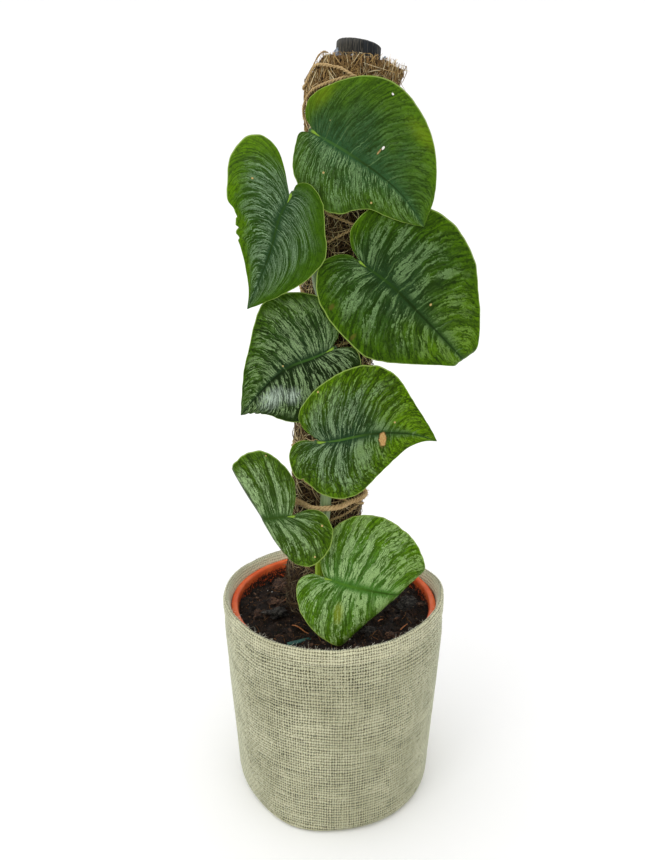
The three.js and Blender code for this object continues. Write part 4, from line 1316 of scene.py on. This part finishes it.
leaves = {
    "leaf_1": {
        "junction": (-12.2, -43, 456.9), "node": 440, "turn": 8, "lift": 3, "heading": -39,
        "fold": (6, 6), "cup": 130, "rib": [(21, 4), (43, 7), (62, 7.3)], "tip": (83.4, 3),
        "left": [(-3, 1.5), (-9, 3), (-14, 12), (-9, 27), (4, 44), (20, 52), (36, 52), (50, 47), (66, 34),
                 (78, 18), (81, 9)],
        "right": [(-3, -1.5), (-7, -5), (-4, -14), (3, -24), (15, -29.5), (27, -29.5), (38, -25), (45, -16),
                  (51, -11), (60, -8), (69, -4.6), (77, -0.4)],
        "silver": (0.05, 0.42), "streaks": (0.2, 1.0), "net": 0.10, "darkness": 0.28, "fine": 1.5,
        "ribLight": 1.3, "lime": (0.5, 0.1), "limeTip": 0.25,
        "tones": ((42, 76, 44), (62, 95, 24), (136, 170, 116)), "silverFrom": 0.54,
        "spots": [(21, 46, 0.8, 0.6, "hole"), (35, 19.5, 0.7, 1.2, "hole"), (34.4, 16.4, 0.5, 2.0, "scar"),
                  (16.6, -13.3, 0.6, 0.6, "tan"), (48.9, -7.8, 0.6, 0.6, "tan"), (-10, 20, 3.5, 8, "lime"),
                  (50, 42, 9, 4, "lime")],
    },
    "leaf_2": {
        "junction": (-26.7, -47, 422.2), "node": 402, "turn": -10, "lift": 0, "heading": -111,
        "fold": (8, 4), "cup": 130, "rib": [(12, -2), (32, -1), (50, -2)], "tip": (70, -4),
        "left": [(-3, 1), (-8, 1), (-11, 7), (-6, 17), (8, 25), (24, 31), (38, 26), (52, 15), (64, 3)],
        "right": [(-3, -2), (-13, -8), (-22, -16), (-26, -27), (-22, -37), (-9, -42), (5, -38), (14, -35),
                  (18, -29), (30, -24), (42, -15), (58, -6.5)],
        "silver": (0.27, 0.36), "streaks": (0.85, 0.95), "net": 0.2, "darkness": 0.3, "fine": 1.8,
        "ribLight": 0.8, "fade": (0.88, 0.5), "lime": (0.15, 0.9), "limeTip": 0.1,
        "tones": ((36, 62, 36), (56, 92, 10), (146, 176, 136)), "silverFrom": 0.545, "sweep": (0.5, 0.26),
        "bites": [(21, -28.5, 1.7), (27, -25.5, 1.5), (32, -23.0, 1.4)],
        "spots": [(-2.4, -24.5, 0.5, 0.7, "tan")],
    },
    "leaf_3": {
        "junction": (15.4, -40, 385.2), "node": 372, "turn": 14, "lift": 4, "heading": -41,
        "fold": (5, 5), "cup": 160, "rib": [(23, 2.5), (48, 2), (70, 1.5), (92, 1)],
        "tip": (110, 1),
        "left": [(-3, 1.5), (-11, 3), (-18, 11), (-17, 27), (-5, 43.5), (12, 53.5), (31, 58), (47, 56),
                 (60, 50), (70, 40), (88, 24), (100, 10)],
        "right": [(-4, -1), (-8, -0.5), (-16, -7), (-19, -17), (-11, -30), (3, -37), (22, -40), (38, -40),
                  (50, -35), (68, -23), (90, -7.5)],
        "roll": (89.5, -20, 7, 125),
        "silver": (0.85, 1), "streaks": (0.3, 0.4), "net": 0.3, "darkness": 0.24, "fine": 1.2,
        "ribLight": 1.0, "web": 0.75, "fade": (0.92, 0.6), "lime": (0.5, 0.35), "limeTip": 0.85,
        "tones": ((32, 58, 28), (50, 84, 8), (108, 138, 88)), "silverFrom": 0.52,
        "spots": [(50.4, 10.8, 0.7, 0.9, "tan"), (2, -31, 1.4, 2.0, "faint"), (24, -36, 1.2, 2.4, "faint")],
    },
    "leaf_4": {
        "junction": (-3.4, -40, 333.6), "node": 316, "turn": -7, "lift": 3, "heading": -144,
        "fold": (4, 6), "cup": 140, "rib": [(11, -2), (26, -6), (39, -6), (52, -4)],
        "tip": (73, 1),
        "left": [(-3, 1.5), (-8, 3), (-13, 8), (-12, 16), (-2, 24), (10, 30), (24, 32.5), (37, 30), (50, 20),
                 (57, 11), (65, 5)],
        "right": [(-3, -1.5), (-10, -5), (-16, -15), (-14, -29), (-3, -41), (9, -47), (20, -46.5), (34, -37),
                  (50, -23.5), (64, -9)],
        "silver": (0.6, 0.5), "streaks": (0.9, 0.8), "net": 0.3, "darkness": 0.12, "fine": 1.6, "ribLight": 1.8,
        "shadow": (0.75, 0.05), "bites": [(68.8, 3.2, 1.3), (65.4, 5.2, 1.2), (61.8, 7.4, 0.9)],
        "lime": (0.1, 0.3), "limeTip": 0.2,
        "tones": ((30, 52, 28), (52, 84, 20), (160, 190, 134)), "silverFrom": 0.545,
        # the two soft pale spots are a painted highlight of gloss
        "spots": [(30, -9, 0.5, 0.5, "tan"), (48, 4, 10, 6, "paintedGloss"), (36, 10, 6, 5, "paintedGloss")],
    },
    "leaf_5": {
        "junction": (-8.9, -49, 277.3), "node": 259, "turn": 2, "lift": -1, "heading": 0,
        "fold": (4, 6), "cup": 140, "rib": [(10, 1), (22, 3.5), (33, 5), (47, 5), (60, 3)],
        "tip": (74, -2),
        "left": [(-3, 3), (-10, 8), (-14, 17), (-6, 31), (7, 41), (22, 47), (36, 47), (47, 40.5), (58, 24),
                 (68, 9)],
        "right": [(-3, -0.5), (-10, 1.5), (-17, -1), (-20, -9), (-16, -23), (-9, -27), (0, -35), (14, -38),
                  (25, -34), (40, -19), (55, -5), (66, -1.5)],
        "silver": (0.7, 0.8), "streaks": (0.9, 0.9), "net": 0.6, "darkness": 0.2, "fine": 1.3, "ribLight": 2.0,
        "lime": (0.9, 0.55), "limeTip": 1.4,
        "tones": ((28, 54, 34), (64, 96, 12), (138, 166, 122)), "silverFrom": 0.535,
        "bites": [(-12.4, -25.6, 1.5)],
        "spots": [(38.6, 1.2, 2.3, 4.6, "rust"), (-2, 32, 0.5, 0.7, "tan"), (46, 12, 0.6, 0.6, "tan")],
    },
    "leaf_6": {
        "junction": (-28.2, -44, 225.8), "node": 199, "turn": -14, "lift": 8, "heading": -177,
        "fold": (12, 6), "cup": 110, "rib": [(8, 1), (20, 3), (34, 5), (46, 6)], "tip": (58, 6),
        "left": [(-3, -2), (-12, -5), (-20, -3.5), (-27, 8), (-24, 22), (-13, 32), (-2, 31), (9, 25.5),
                 (23, 19), (42, 12)],
        "right": [(-1, -3), (-3, -12), (-2, -24), (6, -34), (20, -42), (33, -39), (43, -30), (50, -19),
                  (55, -6)],
        "roll": (17, 33.5, 7, 130),
        "silver": (0.8, 0.95), "streaks": (0.7, 0.8), "net": 0.6, "darkness": 0.24, "fine": 1.25,
        "ribLight": 0.6, "lime": (0.35, 0.3), "limeTip": 0.1,
        "tones": ((52, 80, 34), (66, 98, 14), (146, 174, 120)), "silverFrom": 0.537,
        "spots": [(-20.1, 5.5, 0.7, 0.7, "tan"), (-15.6, 25.6, 0.6, 0.6, "tan"), (17.6, -39, 0.5, 0.5, "tan")],
    },
    "leaf_7": {
        "junction": (-4.5, -47, 182.7), "node": 160, "turn": 8, "lift": 19, "heading": -8,
        "fold": (6, 4), "cup": 220, "rib": [(11, -3), (30, -6), (45, -7.5), (60, -10)],
        "tip": (74, -14),
        "left": [(-3, 1.5), (-7, 14), (-4, 27), (7, 39), (20, 44), (35, 43), (48, 37), (58, 28.5),
                 (65, 17), (69, 3)],
        "right": [(-3, -0.5), (-9, 2.5), (-17, 0), (-20, -6), (-17, -21), (-8, -33), (3, -40.5), (14, -44),
                  (28, -42.5), (43, -35), (60, -23)],
        "roll": (49, -46, 8, 130),
        "silver": (1, 1), "streaks": (0.45, 0.45), "net": 0.5, "darkness": 0.24, "ribLight": 0.9,
        "fade": (1.25, 0.95),
        "lime": (0.55, 0.25), "limeTip": 0.6,
        "tones": ((64, 110, 40), (84, 128, 20), (150, 182, 118)), "silverFrom": 0.49,
        "spots": [(9, -22, 3.2, 7.0, "yellow")],
    },
}
blade = {
    "rows": 120, "columns": 26, "thickness": 0.6, "rib": 1.4, "ribWidth": 3,
    "lengthwiseBend": 400, "lobeBend": 160, "marginWave": 0.9, "mainVeins": 8, "veinSweep": 0.10,
    "ribSteps": 400, "petiole": 1.4,
    "limeColour": (92, 132, 0), "edgeColour": (150, 176, 84), "edgeDark": (96, 128, 44),
    "nubColour": (128, 164, 52), "stalkPale": (84, 112, 36), "biteRim": (96, 72, 40),
    "limeMottle": (126, 160, 54),
    "backColour": (112, 142, 92), "backPale": (134, 158, 104), "backCells": (84, 116, 66),
    "backVeins": (168, 184, 124), "backRib": (172, 190, 118),
}
spotColours = {"tan": (190, 166, 106), "rust": (178, 124, 76), "scar": (122, 84, 60), "hole": (240, 238, 232),
               "yellow": (138, 152, 44), "faint": (100, 84, 38), "lime": (128, 152, 18),
               # the last colour is a painted highlight, a pale gloss
               "paintedGloss": (182, 200, 182)}
softSpots = {  # without an edge: where each begins and is full, in half sizes, then its strength
    "yellow": (1.9, 0.9, 0, 0.5), "faint": (1.9, 0.9, 0, 0.5), "lime": (2.6, 0.4, 0, 0.36),
    # the last is a painted highlight: a soft pale patch of gloss
    "paintedGloss": (1.9, 0.5, 0, 0.85),
}


def bladeHeight(leaf, x, y):
    fold = tan(radians(leaf["fold"][y < 0]))
    bend = blade["lengthwiseBend"] if x > 0 else blade["lobeBend"]
    return fold * (hypot(y, 3) - 3) - y * y / (2 * leaf["cup"]) - x * x / (2 * bend)


def bladePoint(leaf, x, y):
    height = bladeHeight(leaf, x, y)
    if "roll" not in leaf:
        return Vector((x, y, height))
    start, skew, radius, most = leaf["roll"]
    c, s = cos(radians(skew)), sin(radians(skew))
    past = (x - start) * c + y * s
    if past <= 0:
        return Vector((x, y, height))
    footX, footY = x - past * c, y - past * s
    foot = bladeHeight(leaf, footX, footY)
    first = -atan(bladeHeight(leaf, footX + c, footY + s) - foot)
    end = min(first + past / radius, radians(most))
    straight = past - (end - first) * radius
    along = radius * (sin(end) - sin(first)) + straight * cos(end)
    drop = radius * (cos(first) - cos(end)) + straight * sin(end)
    return Vector((footX + along * c, footY + along * s, foot - drop))


def leafPlace(leaf):
    turn, lift, heading = (radians(leaf[key]) for key in ("turn", "lift", "heading"))
    facing = Vector((sin(turn) * cos(lift), -cos(turn) * cos(lift), sin(lift)))
    level = around(turn, 1)
    rising = facing.cross(level)
    along = level * cos(heading) + rising * sin(heading)
    across = level * -sin(heading) + rising * cos(heading)
    place = Matrix((along, across, facing)).transposed().to_4x4()
    place.translation = leaf["junction"]
    return place


def leafFinish(name, leaf, seed):
    centre, middle, pale = (paint(*tone) for tone in leaf["tones"])
    dark = leaf["darkness"] * middle
    top = Finish(name + " face", 0.4, Specular_IOR_Level=0.05)
    sideAndShare, across, _ = top.split(top.uv("UVMap"))
    onRight = top.maths("GREATER_THAN", sideAndShare, 1.5)
    share = sideAndShare - onRight * 2.0
    flat = top.vector("SCALE", top.uv("flat"), scale=100)     # millimetres in the flat drawing
    grain = top.noise(flat, 1.5, 4, 0.7)
    drift = top.noise(flat, 0.06, 3)
    blotch = top.noise(flat, 0.14, 3)

    def perSide(left, right):
        return left + onRight * (right - left)

    swept = perSide(*leaf.get("sweep", (blade["veinSweep"],) * 2))
    vein = share - across ** 2.0 * swept + (drift - 0.5) * 0.045
    jag = top.noise(flat, 0.5, 3, 0.65)                       # ragged edges, as between the finest veins
    ragged = jag - 0.5
    vein = vein + ragged * 0.022
    apart = onRight * 7.3

    def along(veinScale, acrossScale, shift, detail=2.0):  # noise drawn out along the side veins
        veinScale *= leaf.get("fine", 1)
        place = top.combine(vein * veinScale, across * acrossScale, apart + (seed + shift))
        return top.noise(place, 1, detail, 0.55)

    broad = along(26, 1.7, 0)
    thin = along(95, 3.0, 3)
    line = top.ease(abs(along(58, 2.6, 8, 1.0) - 0.5), 0.045, 0.012)      # thin dark veins
    wave = top.maths("COSINE", vein * (tau * blade["mainVeins"]))
    between = top.ease(wave, 0.85, 0.0)
    rise = top.ease(across, 0.02, 0.12)
    fade = top.ease(across + (blotch - 0.5) * 0.6, *leaf.get("fade", (1.0, 0.72)))
    atTip = top.ease(share + drift * 0.3, 0.6, 1.1) * leaf["limeTip"]
    envelope = rise * fade * (1.0 - atTip * 0.55)
    score = (broad + (thin - 0.5) * 0.4 + ragged * 0.3 + (grain - 0.5) * 0.15 + (between - 0.65) * 0.14
             + (blotch - 0.5) * 0.22)
    start = leaf["silverFrom"]
    silver = top.ease(score, start - 0.02, start + 0.045) * perSide(*leaf["silver"])
    silver = silver * (1.0 - line * 0.85)
    threads = top.ease(thin + (grain - 0.5) * 0.12, 0.53, 0.62) * perSide(*leaf["streaks"])
    silver = top.maths("MAXIMUM", silver, threads * 0.7) * envelope
    mesh = top.combine(vein * 46, across * 8, apart)
    net = top.ease(top.cells(mesh, 1, "DISTANCE_TO_EDGE"), 0.15, 0.02) * top.ease(across, 0.2, 0.75, 0.15, 1)

    tone = top.ramp(across + (drift - 0.5) * 0.8, 0.1, 0.8, centre, middle)
    lime = perSide(*leaf["lime"])
    lime = top.ease(across + drift * 0.5, 0.75, 1.3) * lime
    lime = top.maths("MAXIMUM", lime, atTip * top.ease(across, -0.1, 0.4))
    tone = top.mix(lime, tone, blade["limeColour"])
    offRib = top.ease(across, 0.02, 0.2, 0.3, 1)
    tone = top.mix(top.ease(thin, 0.5, 0.36, 0, 0.7) * offRib, tone, dark)
    tone = top.mix(top.ease(broad, 0.46, 0.34, 0, 0.45) * offRib, tone, dark)
    if "shadow" in leaf:
        tone = top.mix(perSide(*leaf["shadow"]), tone, dark)
    tone = top.wash(tone, (grain, 0.45, 0.75, 0.25, 1.7 * middle), (jag, 0.50, 0.34, 0.5, dark))
    mottle = top.ramp(grain, 0.35, 0.66, 0.62 * pale, 1.25 * pale)
    mottle = top.mix(lime * 0.8, mottle, blade["limeMottle"])
    tone = top.mix(silver * 0.95, tone, mottle)
    tone = top.mix(net * leaf["net"], tone, dark)
    tone = top.mix(line * top.ease(across, 0.04, 0.2, 0.1, 0.55), tone, dark)
    paleVein = top.ease(wave, 0.985, 0.998) * top.ease(across, 0.5, 0.1, 0, leaf.get("web", 0.4))
    tone = top.mix(paleVein, tone, 0.4 * middle + 0.6 * pale)
    ribTone = top.ramp(top.vector("LENGTH", flat), 14, 38, leaf["ribLight"] * 0.5 * (centre + middle), dark)
    tone = top.wash(tone, (across, 0.026, 0.010, 0.75, ribTone),
                    (across, 0.978, 0.99, 0.75, blade["edgeColour"]))
    specks = top.cells(top.vector("ADD", flat, (seed * 3.1, seed, 0)), 0.05)
    tone = top.wash(tone, (specks, 0.028, 0.016, 0.6, spotColours["tan"]))
    for x, y, halfWidth, halfLength, kind in leaf["spots"]:
        away = top.vector("DIVIDE", top.vector("SUBTRACT", flat, (x, y, 0)), (halfWidth, halfLength, 1))
        ring = top.vector("LENGTH", away) + top.noise(flat, 0.55, 3, 0.6) * 0.9
        colour = spotColours[kind]
        if kind in softSpots:
            soft = top.ease(ring, *softSpots[kind])
            # painted highlight: the gloss patch follows the pale streaks
            if kind == "paintedGloss":
                soft = soft * top.ease(thin, 0.4, 0.58, 0.2, 1)
            tone = top.mix(soft, tone, colour)
            continue
        tone = top.wash(tone, (ring, 1.75, 1.45, 0.6, blade["biteRim"]))
        inner = colour if kind == "hole" else top.ramp(grain, 0.4, 0.6, colour, spotColours["tan"])
        tone = top.wash(tone, (ring, 1.5, 1.3, 0.95, inner))
    top.colour(tone)
    top.roughness(top.ease(silver, 0, 1, 0.34, 0.5))
    top.bump(silver, 0.12, 0.6)
    top.bump(line, 0.12, -0.5)
    top.bump(grain, 0.10, 0.3)
    return top


def backFinish():
    back = Finish("leaf back", 0.55)
    sideAndShare, across, _ = back.split(back.uv("UVMap"))
    flat = back.vector("SCALE", back.uv("flat"), scale=100)
    share = back.maths("FRACT", sideAndShare * 0.999)
    vein = share - across ** 2.0 * blade["veinSweep"]
    wave = back.maths("COSINE", vein * (tau * blade["mainVeins"]))
    cells = back.cells(flat, 0.35, "DISTANCE_TO_EDGE")
    mottle = back.noise(flat, 0.2, 3)
    tone = back.ramp(mottle, 0.35, 0.7, blade["backColour"], blade["backPale"])
    tone = back.wash(tone, (cells, 0.12, 0.02, 0.4, blade["backCells"]),
                     (wave, 0.9, 1.0, 0.6, blade["backVeins"]), (across, 0.08, 0.03, 0.7, blade["backRib"]))
    back.colour(tone)
    back.bump(wave, 0.3, 0.4)
    back.bump(cells, 0.2, 0.3)
    return back


def bladeSheet(leaf, place):
    rows, columns = blade["rows"], blade["columns"]
    sheet = bmesh.new()
    uvMap = sheet.loops.layers.uv.new("UVMap")
    flatMap = sheet.loops.layers.uv.new("flat")
    steps = blade["ribSteps"]
    rib = curveThrough([(0, 0), *leaf["rib"], leaf["tip"]], steps)
    for side, key in ((1, "left"), (-1, "right")):
        margin = curveThrough([*leaf[key], leaf["tip"]], rows)
        for x, y, size in leaf.get("bites", []):
            for point in margin:
                gap = Vector((point.x - x, point.y - y)).length
                if y * side > 0 and gap < size:
                    point += Vector((20 - x, -y, 0)).normalized() * ((size - gap) * 1.6)
        for index, point in enumerate(margin):  # small wiggles
            wiggle = 0.5 * wander(index * 0.23, side * 9, leaf["node"] * 0.1) * sin(pi * index / rows) ** 0.3
            point += Vector((20 - point.x, -point.y, 0)).normalized() * wiggle
        places = {}

        def flatPoint(row, column):
            share = row / rows
            out = 1 - (1 - column / columns) ** 1.15
            foot = rib[round(steps * share ** 1.9)]
            return foot.lerp(margin[row], out), out, share, foot

        for back in (False, True):
            made = bmesh.ops.create_grid(sheet, x_segments=rows, y_segments=columns, size=0.5)
            spots = {vertex: (round((vertex.co.x + 0.5) * rows), round((vertex.co.y + 0.5) * columns))
                     for vertex in made["verts"]}
            for face in {face for vertex in made["verts"] for face in vertex.link_faces}:
                face.material_index = int(back)
                for loop in face.loops:
                    flat, out, share, _ = flatPoint(*spots[loop.vert])
                    loop[uvMap].uv = (share + (2 if side < 0 else 0), out)
                    loop[flatMap].uv = (flat.x / 100, flat.y / 100)
            for vertex, spot in spots.items():
                if spot not in places:
                    places[spot] = bladeLayers(leaf, side, *flatPoint(*spot))
                vertex.co = place @ places[spot][back]
    return sheet


def bladeLayers(leaf, side, flat, out, share, foot):
    x, y = flat.x, flat.y
    upper = bladePoint(leaf, x, y)
    normal = (bladePoint(leaf, x + 0.5, y) - bladePoint(leaf, x - 0.5, y)).cross(
        bladePoint(leaf, x, y + 0.5) - bladePoint(leaf, x, y - 0.5)).normalized()
    wave = blade["marginWave"] * out ** 3 * sin(share * 17 + side) * sin(share * pi)
    wave += 0.25 * out ** 4 * wander(share * 40, side * 5, leaf["node"])
    vein = share - blade["veinSweep"] * out * out
    quilt = -0.16 * cos(tau * blade["mainVeins"] * vein) * sin(pi * min(out * 1.1, 1))
    fromRib = hypot(x - foot.x, y - foot.y)
    groove = -0.3 * hump(fromRib, 1.3) * (1 - share)
    upper += normal * (wave + quilt + groove)
    ridge = blade["rib"] * (1 - 0.6 * share) * hump(fromRib, blade["ribWidth"] * 0.7)
    veinRidge = 0.22 * max(cos(tau * blade["mainVeins"] * vein), 0) ** 6 * (1 - out)
    thin = blade["thickness"] * (1 - 0.35 * out ** 8)
    return upper, upper - normal * (thin + ridge + veinRidge)


def joinMargins(sheet):  # the face and the back are open all round, and are joined there
    closeSeams(sheet, 0.004)
    for face in bmesh.ops.bridge_loops(sheet, edges=openEdges(sheet))["faces"]:
        face.material_index = 3
    faceOut(sheet)


def makeLeaves():
    back = backFinish()
    edging = mottled("leaf edge", 0.5, 0.4, blade["edgeColour"], blade["edgeDark"])
    for number, (name, leaf) in enumerate(leaves.items(), 1):
        stalk = Finish(name + " petiole", 0.45, Specular_IOR_Level=0.15)
        streak = stalk.noise(stalk.place, 0.9, 3)
        along = stalk.vector("DISTANCE", stalk.place, leaf["junction"])
        green = leaf["ribLight"] * paint(*leaf["tones"][0])
        tone = stalk.ramp(along, 1.6, 3.6, blade["nubColour"], green)
        stalk.colour(stalk.wash(tone, (streak, 0.35, 0.7, 0.35, blade["stalkPale"])))
        stalk.bump(streak, 0.2, 0.4)
        place = leafPlace(leaf)
        sheet = bladeSheet(leaf, place)
        joinMargins(sheet)
        root = poleMatrix @ stemCentre(leaf["node"])
        outwards = Vector((leaf["junction"][0] - root.x, leaf["junction"][1] - root.y, 0)).normalized()
        start = root + outwards * (stemSize(leaf["node"]) - 0.4)
        toLeaf = place.inverted()
        rib = curveThrough([(0, 0), *leaf["rib"], leaf["tip"]], 40)
        onRib = [Vector((rib[step].x, rib[step].y, bladeHeight(leaf, rib[step].x, rib[step].y) - 0.35))
                 for step in (1, 2, 4)]
        route = [toLeaf @ start, toLeaf @ (start + outwards * 2.4 + Vector((0, 0, 0.8))),
                 Vector((-3.4, 0, -2.4)), Vector((-1.4, 0, -0.1)), *onRib]
        line = curveThrough(route, 30)
        joint = min(range(31), key=lambda step: (line[step] - route[3]).length)
        path = []
        for step, point in enumerate(line):
            beyond = (point - line[joint]).length if step > joint else 0
            radius = blade["petiole"] - 0.55 * smoothStep(step, joint - 6, joint)
            radius -= 0.4 * smoothStep(beyond, 0, 2.5) + 0.3 * smoothStep(beyond, 2.5, 7)
            path.append((place @ point, radius))
        strands([path], 12, sheet, 2)
        face = leafFinish(name, leaf, number * 11.7)
        finishPiece(name + "_blade", sheet, [face, back, stalk, edging], [name])


makeStudio()
makeCover()
print("cover made")
makePot()
makeSoil()
makeStick()
print("pot and soil made")
makeStake()
makeCoir()
makeTwine()
makeStem()
print("pole and stem made")
makeLeaves()
print("leaves made")
